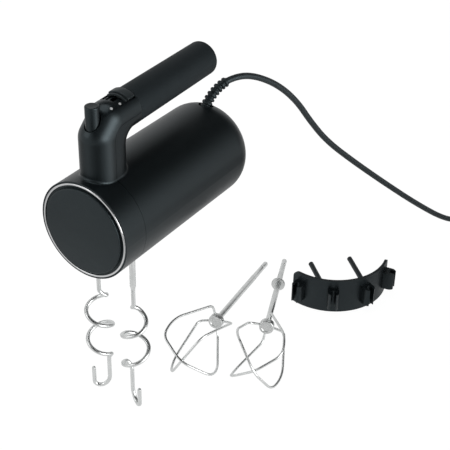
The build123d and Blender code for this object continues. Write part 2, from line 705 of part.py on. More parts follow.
def build_drive():
    """Gear case with cover and screws, wheels, spindles and their bushes."""
    case = block(-case_half, case_half, CASE_FRONT, CASE_BACK, CASE_BOTTOM, CASE_TOP)
    case &= cyl_y(bore_r(CASE_BACK), CASE_FRONT, CASE_BACK)
    for front in (CASE_FRONT + 8, CASE_BACK - CASE_RIB):
        rib = cyl_y(bore_r(front + CASE_RIB), front, front + CASE_RIB)
        case += rib & block(-BARREL_R, BARREL_R, 0, CASE_BACK, CASE_BOTTOM, CASE_TOP)
    inner = case_half - CASE_WALL
    case -= block(-inner, inner, CASE_FRONT + CASE_WALL, CASE_BACK - CASE_WALL, CASE_BOTTOM + 2, CASE_TOP + 1)
    case -= cyl_y(worm_r + 1.5, CASE_FRONT - 1, CASE_FRONT + 5)
    case -= cyl_y(BEARING_R + SNUG, CASE_BACK - 5, CASE_BACK + 1)
    cover = block(-case_half, case_half, CASE_FRONT, CASE_BACK, CASE_TOP, CASE_TOP + COVER_THICK)
    cover -= cyl_y(BEARING_R + SNUG, CASE_BACK - 5, CASE_BACK + 1)
    screws = []
    for x in (-case_half + 4, case_half - 4):
        for y in (CASE_FRONT + 4, CASE_BACK - 4):
            case += cyl_z(SCREW_HEAD_R, CASE_BOTTOM + 1, CASE_TOP, x, y)
            case -= cyl_z(SCREW_R + SNUG, CASE_TOP - 12, CASE_TOP + 1, x, y)
            cover -= cyl_z(SCREW_R + SNUG, CASE_TOP - 1, CASE_TOP + COVER_THICK + 1, x, y)
            top = CASE_TOP + COVER_THICK
            head = cyl_z(SCREW_HEAD_R, top, top + SCREW_HEAD, x, y)
            screws.append(head + cyl_z(SCREW_R, CASE_TOP - 10, top, x, y))
    floor_top = CASE_BOTTOM + 2
    for side, x in spindles.items():
        case -= cyl_z(BUSH_R + SNUG, CASE_BOTTOM - 1, floor_top + 1, x, SPINDLE_Y)
        cover -= cyl_z(SPINDLE_R + FIT, CASE_TOP - 1, CASE_TOP + COVER_THICK + 1, x, SPINDLE_Y)
        bush = cyl_z(BUSH_R, -BARREL_R, floor_top + 0.5, x, SPINDLE_Y)
        bush += cyl_z(BUSH_FLANGE_R, floor_top, floor_top + BUSH_FLANGE, x, SPINDLE_Y)
        bush -= cyl_z(SPINDLE_R + FIT, SPINDLE_BOTTOM - SEAT_GAP, floor_top + BUSH_FLANGE + 1, x, SPINDLE_Y)
        bush -= cyl_z(SHANK_R + BUSH_MOUTH, -BARREL_R - 1, floor_top, x, SPINDLE_Y)
        save("spindle_bush_" + side, bush & barrel_solid(0, 0))
        spindle = cyl_z(SPINDLE_R, SPINDLE_BOTTOM, SPINDLE_TOP, x, SPINDLE_Y)
        spindle -= cyl_z(SHANK_R + FIT, SPINDLE_BOTTOM - 1, SPINDLE_TOP + 1, x, SPINDLE_Y)
        save("spindle_" + side, spindle)
        phase = 180 / GEAR_TEETH if side == "right" else 0
        save("drive_gear_" + side, Pos(x, SPINDLE_Y, 0) * gear_wheel(phase + 180))
    save("gear_case", case)
    save("gear_case_cover", cover)
    save("gear_case_screws", Compound(children=screws))


def build_motor():
    """Universal motor along the barrel's axis."""
    core_r = worm_r - DEDENDUM * GEAR_MODULE
    journal_r = core_r - 1.0
    nose = CASE_FRONT + BEARING_LENGTH
    shaft = cyl_y(journal_r, CASE_FRONT, nose + 1) + cyl_y(core_r, nose + FIT, CASE_BACK - 4) + worm_thread()
    shaft += cyl_y(SHAFT_R, CASE_BACK - 5, bracket_front + SHAFT_TAIL)
    save("armature_shaft", shaft)
    tail = CASE_BACK - 4 + FIT
    seat = seat_back
    shaft_bore = cyl_y(SHAFT_R + FIT, 0, BARREL_LENGTH)
    save("front_bearing", cyl_y(worm_r + 1.5 - SNUG, CASE_FRONT, nose) - cyl_y(journal_r + FIT, 0, nose + 1))
    save("middle_bearing", cyl_y(BEARING_R, tail, CASE_BACK + 2) - shaft_bore)
    save("rear_bearing", cyl_y(BEARING_R, bracket_front, seat + 4) - shaft_bore)
    shaft_seat = cyl_y(SHAFT_R + SNUG, 0, BARREL_LENGTH)
    slot_floor = ROTOR_R * 0.6
    slots = None
    for k in range(ROTOR_SLOTS):
        half = ROTOR_SLOT / 2
        gap = block(slot_floor, ROTOR_R + 1, STATOR_FRONT - 1, stator_back + 1, -half, half)
        gap = Rot(0, 360 * k / ROTOR_SLOTS, 0) * gap
        slots = gap if slots is None else slots + gap
    save("armature_core", cyl_y(ROTOR_R, STATOR_FRONT, stator_back) - shaft_seat - slots)
    winding = None
    for front in (STATOR_FRONT - WINDING_OVER, stator_back):
        back = front + WINDING_OVER
        turns = cyl_y(ROTOR_R - 2, front, back) - cyl_y(SHAFT_R + 3, front - 1, back + 1)
        winding = turns if winding is None else winding + turns
    for k in range(ROTOR_SLOTS):
        half = ROTOR_SLOT / 2 - SNUG
        strand = block(slot_floor + SNUG, ROTOR_R - 2, STATOR_FRONT - 1, stator_back + 1, -half, half)
        winding += Rot(0, 360 * k / ROTOR_SLOTS, 0) * strand
    save("armature_winding", winding)
    commutator_back = commutator_front + COMMUTATOR_LENGTH
    save("commutator", cyl_y(COMMUTATOR_R, commutator_front, commutator_back) - shaft_seat)
    fan_back = FAN_FRONT + FAN_WIDTH
    fan = cyl_y(FAN_HUB_R, FAN_FRONT, fan_back) + cyl_y(fan_r, FAN_FRONT, FAN_FRONT + FAN_DISC)
    for k in range(FAN_BLADES):
        blade = block(FAN_HUB_R - 1, fan_r, FAN_FRONT, fan_back, -FAN_BLADE / 2, FAN_BLADE / 2)
        fan += Rot(0, 360 * k / FAN_BLADES, 0) * blade
    save("cooling_fan", fan - shaft_seat)
    stator = cyl_y(STATOR_R, STATOR_FRONT, stator_back) - cyl_y(ROTOR_R + ROTOR_GAP, 0, BARREL_LENGTH)
    coils = []
    for side in (-1, 1):
        near, far = sorted((side * (ROTOR_R + 3), side * (ROTOR_R + 8)))
        frame = block(near, far, STATOR_FRONT - 5, stator_back + 5, -FIELD_OUT, FIELD_OUT)
        slot = block(near - SNUG, far + SNUG, STATOR_FRONT - 1, stator_back + 1, FIELD_IN, FIELD_OUT + SNUG)
        stator -= slot + mirror(slot, about=Plane.XY)
        window = FIELD_IN + SNUG
        open_core = block(near - 1, far + 1, STATOR_FRONT - SNUG, stator_back + SNUG, -window, window)
        coils.append(frame - open_core)
    bolt_front = STATOR_FRONT - 4
    bolts = []
    holes = cyl_y(LEAD_R + FIT, 0, BARREL_LENGTH, 0, lead_z)
    for x in (-bolt_spot, bolt_spot):
        bolt = cyl_y(SCREW_R, bolt_front, seat, x, -bolt_spot)
        bolts.append(bolt + cyl_y(SCREW_HEAD_R, seat, seat + SCREW_HEAD, x, -bolt_spot))
        holes += cyl_y(SCREW_R + SNUG, 0, BARREL_LENGTH, x, -bolt_spot)
    save("stator_core", stator - holes)
    save("field_windings", Compound(children=coils))
    save("motor_bolts", Compound(children=bolts))
    for name, front in (("front", STATOR_FRONT), ("rear", stator_back - RING_THICK)):
        ring = cyl_y(bore_r(front + RING_THICK), front, front + RING_THICK)
        save("motor_ring_" + name, ring - cyl_y(STATOR_R + SNUG, front - 1, front + RING_THICK + 1) - holes)
    bracket = cyl_y(bore_r(seat), bracket_front, seat) - cyl_y(BEARING_R + SNUG, 0, BARREL_LENGTH) - holes
    for k in range(BRACKET_WINDOWS):
        a = 2 * math.pi * k / BRACKET_WINDOWS
        x = WINDOW_SPOT * math.cos(a)
        bracket -= cyl_y(WINDOW_R, bracket_front - 1, seat + 1, x, WINDOW_SPOT * math.sin(a))
    save("rear_bracket", bracket)
    holders = []
    brushes = []
    for side in (-1, 1):
        near, far = sorted((side * (COMMUTATOR_R + 2), side * (COMMUTATOR_R + 17)))
        holder = block(near, far, commutator_front, bracket_front, -BRUSH_HALF - 2, BRUSH_HALF + 2)
        middle = commutator_front + COMMUTATOR_LENGTH / 2
        reach = BRUSH_HALF + FIT
        holders.append(holder - block(near - 1, far + 1, middle - reach, middle + reach, -reach, reach))
        near, far = sorted((side * (COMMUTATOR_R + SEAT_GAP), side * (COMMUTATOR_R + 13)))
        brushes.append(block(near, far, middle - BRUSH_HALF, middle + BRUSH_HALF, -BRUSH_HALF, BRUSH_HALF))
    save("brush_holders", Compound(children=holders))
    save("carbon_brushes", Compound(children=brushes))


def hook_stations():
    """Points and directions along a left hook's wire, about its own axis."""
    facing = math.radians(HOOK_FACING)

    def spot(radius, turn, z):
        a = facing + 2 * math.pi * turn
        return Vector(HOOK_CENTRE[0] + radius * math.cos(a), HOOK_CENTRE[1] + radius * math.sin(a), z)

    def way(turn, outward, down):
        a = facing + 2 * math.pi * turn
        across = Vector(-math.sin(a), math.cos(a), 0) + Vector(math.cos(a), math.sin(a), 0) * outward
        return (across - Vector(0, 0, down)).normalized()

    fall = HOOK_PITCH / (2 * math.pi * HOOK_COIL_R)
    down = Vector(0, 0, -1)
    stations = [(Vector(0, 0, SHANK_BOTTOM + 6), down), (Vector(0, 0, HOOK_COIL_TOP + 7), down)]
    stations.append((spot(HOOK_COIL_R * 0.62, 0.04, HOOK_COIL_TOP - 1), way(0.04, 0.25, 0.35)))
    for k in range(1, 4 * HOOK_TURNS):
        grown = min(1.0, 0.8 + 0.2 * (k - 1))
        spread = 0.15 if k == 1 else 0.0
        point = spot(HOOK_COIL_R * grown, k / 4, HOOK_COIL_TOP - HOOK_PITCH * k / 4)
        stations.append((point, way(k / 4, spread, fall)))
    last = HOOK_TURNS - 0.1
    end = HOOK_COIL_TOP - HOOK_PITCH * last
    stations.append((spot(HOOK_COIL_R, last, end), way(last, -0.1, fall)))
    leg = Vector(*HOOK_LEG, 0)
    tip = Vector(*HOOK_END, 0)
    across = (tip - leg).normalized()
    width = (tip - leg).length
    low = Vector(0, 0, HOOK_BOTTOM)
    rest = width * (1 - HOOK_BEND_SHARE)
    stations.append((leg + Vector(0, 0, end - 10), down))
    stations.append((leg + low - down * HOOK_BEND, down))
    stations.append((leg + low + across * (width * HOOK_BEND_SHARE), across))
    stations.append((tip + low - down * rest, -down))
    stations.append((tip + Vector(0, 0, HOOK_TIP), -down))
    return stations


def build_hooks():
    """Two dough hooks, mirror images of each other, in the sockets."""
    wire = round_bar(biarc_run(hook_stations()), HOOK_WIRE_R)
    shank = turned([
        (0, SHANK_BOTTOM - 4), (HOOK_WIRE_R, SHANK_BOTTOM - 4), (SHANK_R, SHANK_BOTTOM),
        (SHANK_R, SHANK_TOP - 1), (SHANK_R - 1, SHANK_TOP), (0, SHANK_TOP)])
    hook = wire + Rot(90, 0, 0) * shank
    save("dough_hook_left", Pos(-SPINDLE_X, SPINDLE_Y, 0) * hook)
    save("dough_hook_right", Pos(SPINDLE_X, SPINDLE_Y, 0) * mirror(hook, about=Plane.YZ))


def beater_loop(twist, turn, apex):
    """One wire loop of a beater, out from the hub and back over the apex, and the apex's height."""
    half = [(BEATER_HUB_R - 2.0, 0.0, 0.0)] + BEATER_CORNERS
    corners = []
    for side in (0, math.pi):
        row = []
        for radius, angle, along in half:
            a = twist * angle + turn + side
            row.append((radius * math.cos(a), radius * math.sin(a), along))
        corners.append(row)
    points = corners[0] + [(0.0, 0.0, apex)] + corners[1][::-1]
    path = FilletPolyline(*points, radius=BEATER_ROUNDS + [BEATER_TOP_ROUND] + BEATER_ROUNDS[::-1])
    across = Plane(origin=path @ 0, z_dir=path % 0) * Circle(BEATER_WIRE_R)
    return sweep(across, path=path), (path @ 0.5).Z


def build_beater(side, hub, turn, twist, collar):
    """Beater lying on the table: hub at a point, axis towards its apex, rolled about the axis."""
    heading, rise, roll = turn
    axis = Vector(math.cos(rise) * math.cos(heading), math.cos(rise) * math.sin(heading), math.sin(rise))
    level = Vector(0, 0, 1).cross(axis).normalized()
    upward = axis.cross(level)
    place = Plane(origin=hub, x_dir=level * math.cos(roll) + upward * math.sin(roll), z_dir=axis)
    hub_front = BEATER_HUB / 2
    step = -BEATER_SHAFT + BEATER_SHANK
    shaft = cyl_z(BEATER_SHAFT_R, step, -hub_front) + cyl_z(BEATER_SHANK_R, -BEATER_SHAFT, step + 1)
    save("beater_" + side + "_shaft", place * shaft)
    boss = cyl_z(BEATER_HUB_R, -hub_front, hub_front)
    boss = fillet(boss.edges().filter_by(GeomType.CIRCLE), 1.0)
    under = BEATER_APEX - BEATER_UNDER
    over_loop, over_top = beater_loop(twist, 0.0, BEATER_APEX)
    under_loop, under_top = beater_loop(twist, math.pi / 2, under)
    save("beater_" + side + "_hub", place * (boss - over_loop - under_loop))
    weld = cyl_z(BEATER_WELD_R, under_top, over_top)
    save("beater_" + side + "_wires", place * (over_loop + under_loop + weld))
    if collar:
        ring = cyl_z(COLLAR_R, step + COLLAR_SPOT, step + COLLAR_SPOT + COLLAR_THICK)
        ring -= cyl_z(BEATER_SHAFT_R + SNUG, step, -hub_front)
        save("beater_" + side + "_collar", place * ring)


def build_holder():
    """Curved storage holder on its edge, with four clips outside and two pins inside."""
    facing = math.radians(HOLDER_FACING)
    wall = cyl_z(HOLDER_R, 0, HOLDER_HEIGHT) - cyl_z(HOLDER_R - HOLDER_WALL, -1, HOLDER_HEIGHT + 1)
    reach = 2 * HOLDER_R
    span = math.radians(HOLDER_HALF_SPAN)
    sector = make_face(Polyline(
        (0, 0), (reach * math.cos(span), -reach * math.sin(span)), (reach * 1.5, 0),
        (reach * math.cos(span), reach * math.sin(span)), close=True))
    wall &= extrude(sector, amount=HOLDER_HEIGHT)
    upright = wall.edges().filter_by(GeomType.LINE).filter_by(lambda e: abs((e % 0).Z) < 0.1)
    top_ends = [e for e in upright if e.center().Z > HOLDER_HEIGHT / 2]
    wall = fillet(top_ends, HOLDER_CORNER)
    for k in range(4):
        clip = cyl_z(CLIP_R + CLIP_WALL, CLIP_BASE, CLIP_BASE + CLIP_HEIGHT, HOLDER_R + CLIP_STAND)
        half = CLIP_R + CLIP_WALL
        clip += block(HOLDER_R - 1, HOLDER_R + CLIP_STAND, -half, half, CLIP_BASE, CLIP_BASE + CLIP_HEIGHT)
        clip -= cyl_z(CLIP_R, 0, HOLDER_HEIGHT, HOLDER_R + CLIP_STAND)
        clip -= block(HOLDER_R + CLIP_STAND, reach, -CLIP_OPEN / 2, CLIP_OPEN / 2, 0, HOLDER_HEIGHT)
        wall += Rot(0, 0, CLIP_STEP * (k - 1.5)) * clip
    inner = math.sqrt((HOLDER_R - HOLDER_WALL) ** 2 - HOLDER_PIN_SPREAD ** 2)
    low = (Align.CENTER, Align.CENTER, Align.MIN)
    buried = cyl_z(HOLDER_R - HOLDER_WALL / 2, 0, HOLDER_HEIGHT)
    root = HOLDER_R - inner
    for y in (-HOLDER_PIN_SPREAD, HOLDER_PIN_SPREAD):
        pin = Cylinder(SHANK_R, root + HOLDER_PIN, align=low)
        pin += Cylinder(HOLDER_BOSS_R, root + HOLDER_BOSS, align=low)
        wall += Pos(HOLDER_R, y, HOLDER_HEIGHT / 2) * Rot(0, -90, 0) * pin & buried
    save("storage_holder", Pos(*HOLDER_CENTRE, TABLE_Z) * Rot(0, 0, math.degrees(facing)) * wall)


def cord_frame():
    """Boot tip and level direction of the cord's free run."""
    tip, _ = boot_point(BOOT_LENGTH)
    heading = math.radians(CORD_HEADING)
    return tip, Vector(math.cos(heading), math.sin(heading), 0)


def build_strain_relief():
    """Bent, ribbed boot through the barrel's rear with a flange inside."""
    rib = BOOT_LENGTH / BOOT_RIBS
    sections = []
    low = BOOT_R - BOOT_GROOVE
    for k in range(BOOT_RIBS):
        for share, radius in ((0.0, BOOT_R), (0.62, BOOT_R), (0.66, low), (0.96, low)):
            sections.append((rib * (k + share), radius - BOOT_TAPER * k))
    sections.append((BOOT_LENGTH, low - BOOT_TAPER * BOOT_RIBS))
    faces = []
    for along, radius in sections:
        point, way = boot_point(along)
        faces.append(Plane(origin=point, x_dir=steady_x(way), z_dir=way) * Circle(radius))
    boot = loft(faces, ruled=True)
    base, lean = boot_point(0)
    low = (Align.CENTER, Align.CENTER, Align.MAX)
    root = Plane(origin=base + lean * BOOT_ROOT[0], z_dir=lean)
    boot += root * Cylinder(BOOT_FLANGE_R, BOOT_ROOT[0] - BOOT_ROOT[1], align=low)
    seat = Plane(origin=base + lean * BOOT_SEAT, z_dir=lean)
    boot += seat * Cylinder(CORD_HOLE_R + 1.6, BOOT_FLANGE, align=low)
    save("strain_relief", boot - boot_cord())


def boot_cord():
    """Stretch of cord inside the strain relief."""
    base, lean = boot_point(0)
    bent = biarc(base, lean, *boot_point(BOOT_LENGTH))
    return round_bar([Line(base - lean * BOOT_INSIDE, base)] + bent, CORD_R)


def steady_x(way):
    """Level direction square to a direction of travel."""
    return Vector(0, 0, 1).cross(way).normalized()


def cord_corners():
    """Corners of the cord's free run, from the boot's mouth to the coil."""
    tip, level = cord_frame()
    corners = [tip + level * out + Vector(0, 0, up) for out, up in CORD_ROUTE]
    lying = TABLE_Z + TIE_THICK + CORD_R
    for out in CORD_FLOOR:
        spot = tip + level * out
        corners.append(Vector(spot.X, spot.Y, lying))
    return corners


def corner_radii(corners):
    """Largest tangent arcs that the runs on both sides of each corner allow."""
    radii = []
    for a, b, c in zip(corners, corners[1:], corners[2:]):
        turn = math.radians((b - a).get_angle(c - b))
        shorter = min((b - a).length, (c - b).length)
        radii.append(0.45 * shorter / math.tan(turn / 2))
    return radii


def coil_stations():
    """Spiral in on the table, climb, spiral out on top, then leave beside the coil to the plug."""
    start = cord_corners()[-1]
    _, level = cord_frame()
    right = Vector(level.Y, -level.X, 0)
    outer = COIL_R + COIL_STEP * COIL_LAYER_TURNS / 2
    centre = start + right * outer + level * (2 * CORD_R)
    low = start.Z
    high = low + COIL_RISE
    plug_z = TABLE_Z + PLUG_HEIGHT / 2

    def station(turn, radius, z, growth, climb):
        a = math.radians(CORD_HEADING + 90) - 2 * math.pi * turn
        out = Vector(math.cos(a), math.sin(a), 0)
        along = Vector(math.sin(a), -math.cos(a), 0)
        point = Vector(centre.X, centre.Y, 0) + out * radius + Vector(0, 0, z)
        way = along * (2 * math.pi * radius) + out * growth + Vector(0, 0, climb)
        return point, way.normalized()

    stations = [(start, level)]
    quarters = int(COIL_LAYER_TURNS * 4)
    inner = outer - COIL_STEP * COIL_LAYER_TURNS
    for k in range(quarters + 1):
        stations.append(station(k / 4, outer - COIL_STEP * k / 4, low, 0 if k == 0 else -COIL_STEP, 0))
    begin = COIL_LAYER_TURNS
    stations.append(station(begin + 0.25, inner - COIL_DRAW_IN, low + COIL_RISE / 2, 0, COIL_RISE * 2))
    begin += 0.5
    for k in range(quarters + 1):
        growth = COIL_STEP
        stations.append(station(begin + k / 4, inner + COIL_STEP * k / 4, high, growth, 0))
    begin += COIL_LAYER_TURNS
    stations.append(station(begin + 0.25, outer + COIL_EXIT, plug_z, 0, 0))
    point, way = stations[-1]
    stations.append((point + way * 2 * CORD_R, way))
    return stations, centre


def build_cord():
    """Cord's free run, its coil with the tie, and the plug."""
    corners = cord_corners()
    radii = corner_radii(corners)
    print("cord bend radii", [round(r) for r in radii])
    path = FilletPolyline(*corners, radius=radii)
    across = Plane(origin=path @ 0, z_dir=path % 0) * Circle(CORD_R)
    free = sweep(across, path=path)
    share = free.volume / (math.pi * CORD_R ** 2 * path.length)
    print("cord free run", round(path.length, 1), "volume share", round(share, 4))
    save("cord_free", free)
    stations, centre = coil_stations()
    edges = biarc_run(stations)
    apart = least_gap(edges, CORD_R, 2 * math.pi * COIL_R)
    print("cord coil", round(Wire(edges).length, 1), "least gap", round(apart, 2))
    save("cord_coil", round_bar(edges, CORD_R))
    build_tie(centre)
    build_plug(*stations[-1])


def build_tie(centre):
    """Flat band round the coil's turns."""
    outer = COIL_R + COIL_STEP * COIL_LAYER_TURNS / 2 + CORD_R + 0.6
    inner = COIL_R - COIL_STEP * COIL_LAYER_TURNS / 2 - CORD_R - 1.0
    top = TIE_THICK + 2 * CORD_R + COIL_RISE + 0.3
    half = TIE_WIDTH / 2
    band = block(inner - TIE_THICK, outer + TIE_THICK, -half, half, 0, top + TIE_THICK)
    band -= block(inner, outer, -half - 1, half + 1, TIE_THICK - 0.2, top)
    aside = CORD_HEADING + 200
    save("cord_tie", Pos(centre.X, centre.Y, TABLE_Z) * Rot(0, 0, aside) * band)


def build_plug(end, way):
    """Flat two-pin plug lying on the table."""
    place = Plane(origin=end, x_dir=steady_x(way), z_dir=way)
    low = (Align.CENTER, Align.CENTER, Align.MIN)
    sections = [
        Pos(0, 0, 0) * RectangleRounded(2.4 * CORD_R, 2.4 * CORD_R, CORD_R),
        Pos(0, 0, PLUG_LENGTH * 0.3) * RectangleRounded(PLUG_WIDTH * 0.62, PLUG_HEIGHT * 0.86, PLUG_ROUND),
        Pos(0, 0, PLUG_LENGTH * 0.55) * RectangleRounded(PLUG_WIDTH, PLUG_HEIGHT, PLUG_ROUND),
        Pos(0, 0, PLUG_LENGTH) * RectangleRounded(PLUG_WIDTH, PLUG_HEIGHT, PLUG_ROUND)]
    body = loft(sections, ruled=True)
    pins = []
    for x in (-PLUG_PIN_SPACING / 2, PLUG_PIN_SPACING / 2):
        root = Pos(x, 0, PLUG_LENGTH - PLUG_PIN_ROOT) * Cylinder(PLUG_PIN_R - 0.4, PLUG_PIN_ROOT, align=low)
        pin = Pos(x, 0, PLUG_LENGTH) * Cylinder(PLUG_PIN_R, PLUG_PIN_LENGTH, align=low)
        tip = pin.edges().filter_by(GeomType.CIRCLE).sort_by(Axis.Z)[-1]
        pins.append(fillet(tip, PLUG_PIN_R * 0.6) + root)
        body -= root
    save("plug_body", place * body)
    save("plug_pins", place * Compound(children=pins))


def build_lead():
    """Lead inside the mixer, from the strain relief past the motor and up the column to the switch."""
    base, lean = boot_point(0)
    top = grip_line(-SWITCH_HALF, lead_column_y)[1] - FIT
    points = [
        base - lean * BOOT_INSIDE / 2, base - lean * BOOT_INSIDE, (0, seat_back + LEAD_STRAIGHT, lead_z),
        (0, lead_column_y, lead_z), (0, lead_column_y, top)]
    path = FilletPolyline(*points, radius=[LEAD_BEND_R, 4 * LEAD_BEND_R, 2 * LEAD_BEND_R])
    across = Plane(origin=path @ 0, z_dir=path % 0) * Circle(LEAD_R)
    lead = sweep(across, path=path) + boot_cord()
    save("internal_lead", lead)
    clamp_front = seat_back + CLAMP_BEHIND
    clamp_bottom = lead_z - LEAD_R - CLAMP_UNDER
    clamp_back = clamp_front + CLAMP_LENGTH
    clamp = block(-CLAMP_HALF, CLAMP_HALF, clamp_front, clamp_back, clamp_bottom, BARREL_R)
    save("cord_clamp", (clamp & barrel_solid(WALL + SEAT_GAP, FACE_DEPTH + LEDGE_THICK)) - lead)


os.makedirs("parts", exist_ok=True)
build_housing()
build_face()
build_grip()
build_controls()
build_eject()
build_drive()
build_motor()
build_hooks()
build_beater("left", BEATER_LEFT_HUB, BEATER_LEFT_TURN, 1, False)
build_beater("right", BEATER_RIGHT_HUB, BEATER_RIGHT_TURN, -1, True)
build_holder()
build_strain_relief()
build_cord()
build_lead()
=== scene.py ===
"""Hand mixer with two dough hooks, two loose wire beaters, their storage holder and the mains lead.

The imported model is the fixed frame. This script dresses its nodes with procedural finishes, puts finer
pieces in place of some of them, and sets up a plain studio and the camera. Metres, in the model's frame:
the origin is the middle of the grip, the front face looks along -Y and Z is up.
"""

from __future__ import annotations

import json
import logging
import math
from dataclasses import dataclass
from enum import Enum
from typing import Callable, Sequence

import bmesh
import bpy
from mathutils import Matrix, Vector

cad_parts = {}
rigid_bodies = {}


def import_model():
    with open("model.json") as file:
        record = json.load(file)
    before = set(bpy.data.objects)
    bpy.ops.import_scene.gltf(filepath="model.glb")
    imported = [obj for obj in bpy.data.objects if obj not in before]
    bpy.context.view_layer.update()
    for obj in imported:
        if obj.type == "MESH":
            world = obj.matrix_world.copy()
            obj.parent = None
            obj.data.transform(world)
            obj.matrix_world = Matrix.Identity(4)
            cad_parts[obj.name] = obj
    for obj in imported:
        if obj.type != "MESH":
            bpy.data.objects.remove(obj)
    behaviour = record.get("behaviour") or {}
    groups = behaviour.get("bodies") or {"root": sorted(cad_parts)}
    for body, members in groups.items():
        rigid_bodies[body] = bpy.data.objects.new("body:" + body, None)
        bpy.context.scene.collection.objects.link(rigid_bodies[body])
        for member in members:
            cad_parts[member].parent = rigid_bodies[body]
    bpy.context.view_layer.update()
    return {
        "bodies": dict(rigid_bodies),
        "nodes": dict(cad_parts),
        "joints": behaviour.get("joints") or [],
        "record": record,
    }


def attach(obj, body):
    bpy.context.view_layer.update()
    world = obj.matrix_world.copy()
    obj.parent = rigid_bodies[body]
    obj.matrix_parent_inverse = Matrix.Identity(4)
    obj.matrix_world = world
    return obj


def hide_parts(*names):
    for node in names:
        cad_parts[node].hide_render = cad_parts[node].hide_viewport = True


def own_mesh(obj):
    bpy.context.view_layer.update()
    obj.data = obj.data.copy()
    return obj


LOG = logging.getLogger("hand_mixer")
Pair = tuple[float, float]
Triple = tuple[float, float, float]
Colour = Triple
Quad = tuple[float, float, float, float]
Profile = Sequence[Pair]
Socket = bpy.types.NodeSocket
Ring = Sequence[bmesh.types.BMVert]

MM = 0.001
X_AXIS = Vector((1, 0, 0))
Y_AXIS = Vector((0, 1, 0))
Z_AXIS = Vector((0, 0, 1))
GRIP_TILT = math.radians(1.3)
GRIP_FOOT = (0.0, 40.0, 91.1)
BARREL_ORIGIN = Vector((0.0, 118.57977, 92.88322))
TABLE = -0.314883
DOME_ANGLES = (0.45 * math.pi / 2, 0.8 * math.pi / 2)


def at(x: float, y: float, z: float) -> Vector:
    """Turn millimetres about the barrel's front centre into the frame's metres.

    Args:
        x: Distance to the right of the barrel's axis.
        y: Distance behind the front face.
        z: Height above the barrel's axis.

    Returns:
        The point in metres.
    """
    return (Vector((x, y, z)) - BARREL_ORIGIN) * MM


class Body(Enum):
    """Bodies of the frame that pieces ride on."""

    MIXER = "mixer"
    EJECT = "eject_body"
    SLIDER = "slider_body"
    HOOK_LEFT = "hook_left_body"
    HOOK_RIGHT = "hook_right_body"
    BEATER_LEFT = "beater_left_body"
    BEATER_RIGHT = "beater_right_body"


class Side(Enum):
    """Left and right of the mixer, as the sign of X."""

    LEFT = -1
    RIGHT = 1


class NodeDesk:
    """Places and links nodes in one node tree."""

    def __init__(self, tree: bpy.types.NodeTree) -> None:
        """Keep the tree to work on."""
        self.tree = tree

    def add(self, kind: str, settings: dict | None = None, values: dict | None = None) -> bpy.types.Node:
        """Place a node.

        Args:
            kind: Blender's name of the node's type.
            settings: Properties of the node.
            values: Values or sources of its inputs, by name or index.

        Returns:
            The node.
        """
        node = self.tree.nodes.new(kind)
        for key, value in (settings or {}).items():
            setattr(node, key, value)
        for key, value in (values or {}).items():
            if isinstance(value, bpy.types.NodeSocket):
                self.tree.links.new(value, node.inputs[key])
            else:
                node.inputs[key].default_value = value
        return node

    def feed(self, node: bpy.types.Node, sources: dict) -> None:
        """Link sources to a node's inputs by name."""
        for key, source in sources.items():
            self.tree.links.new(source, node.inputs[key])

    def group(self, tree: bpy.types.NodeTree, values: dict) -> bpy.types.Node:
        """Place a shared node group."""
        return self.add("ShaderNodeGroup", {"node_tree": tree}, values)

    def place(self) -> Socket:
        """Give the object's own coordinates."""
        return self.add("ShaderNodeTexCoord").outputs["Object"]

    def math(self, operation: str, first: object, second: object) -> Socket:
        """Combine two numbers or sources."""
        return self.add("ShaderNodeMath", {"operation": operation}, {0: first, 1: second}).outputs[0]

    def vector(self, operation: str, first: object, second: object) -> bpy.types.Node:
        """Combine two vectors or sources."""
        return self.add("ShaderNodeVectorMath", {"operation": operation}, {0: first, 1: second})

    def span(self, source: Socket, limits: Pair, low: object, high: object) -> Socket:
        """Map a value between limits onto a new range.

        Args:
            source: Value to map.
            limits: Values that give low and high.
            low: Lowest result.
            high: Highest result.

        Returns:
            The result's socket.
        """
        values = {0: source, 1: limits[0], 2: limits[1], 3: low, 4: high}
        return self.add("ShaderNodeMapRange", None, values).outputs[0]

    def fade(self, source: Socket, limits: Quad) -> Socket:
        """Map a value between the first two numbers onto the last two."""
        return self.span(source, limits[:2], *limits[2:])

    def mix(self, factor: object, first: object, second: object) -> Socket:
        """Mix two colours or sources by a factor."""
        values = {0: factor, 6: first, 7: second}
        return self.add("ShaderNodeMix", {"data_type": "RGBA"}, values).outputs[2]

    def noise(self, vector: Socket, scale: object, detail: float) -> Socket:
        """Place a noise of so many cells per metre and octaves of detail."""
        values = {"Vector": vector, "Scale": scale, "Detail": detail, "Roughness": 0.6}
        return self.add("ShaderNodeTexNoise", None, values).outputs[0]


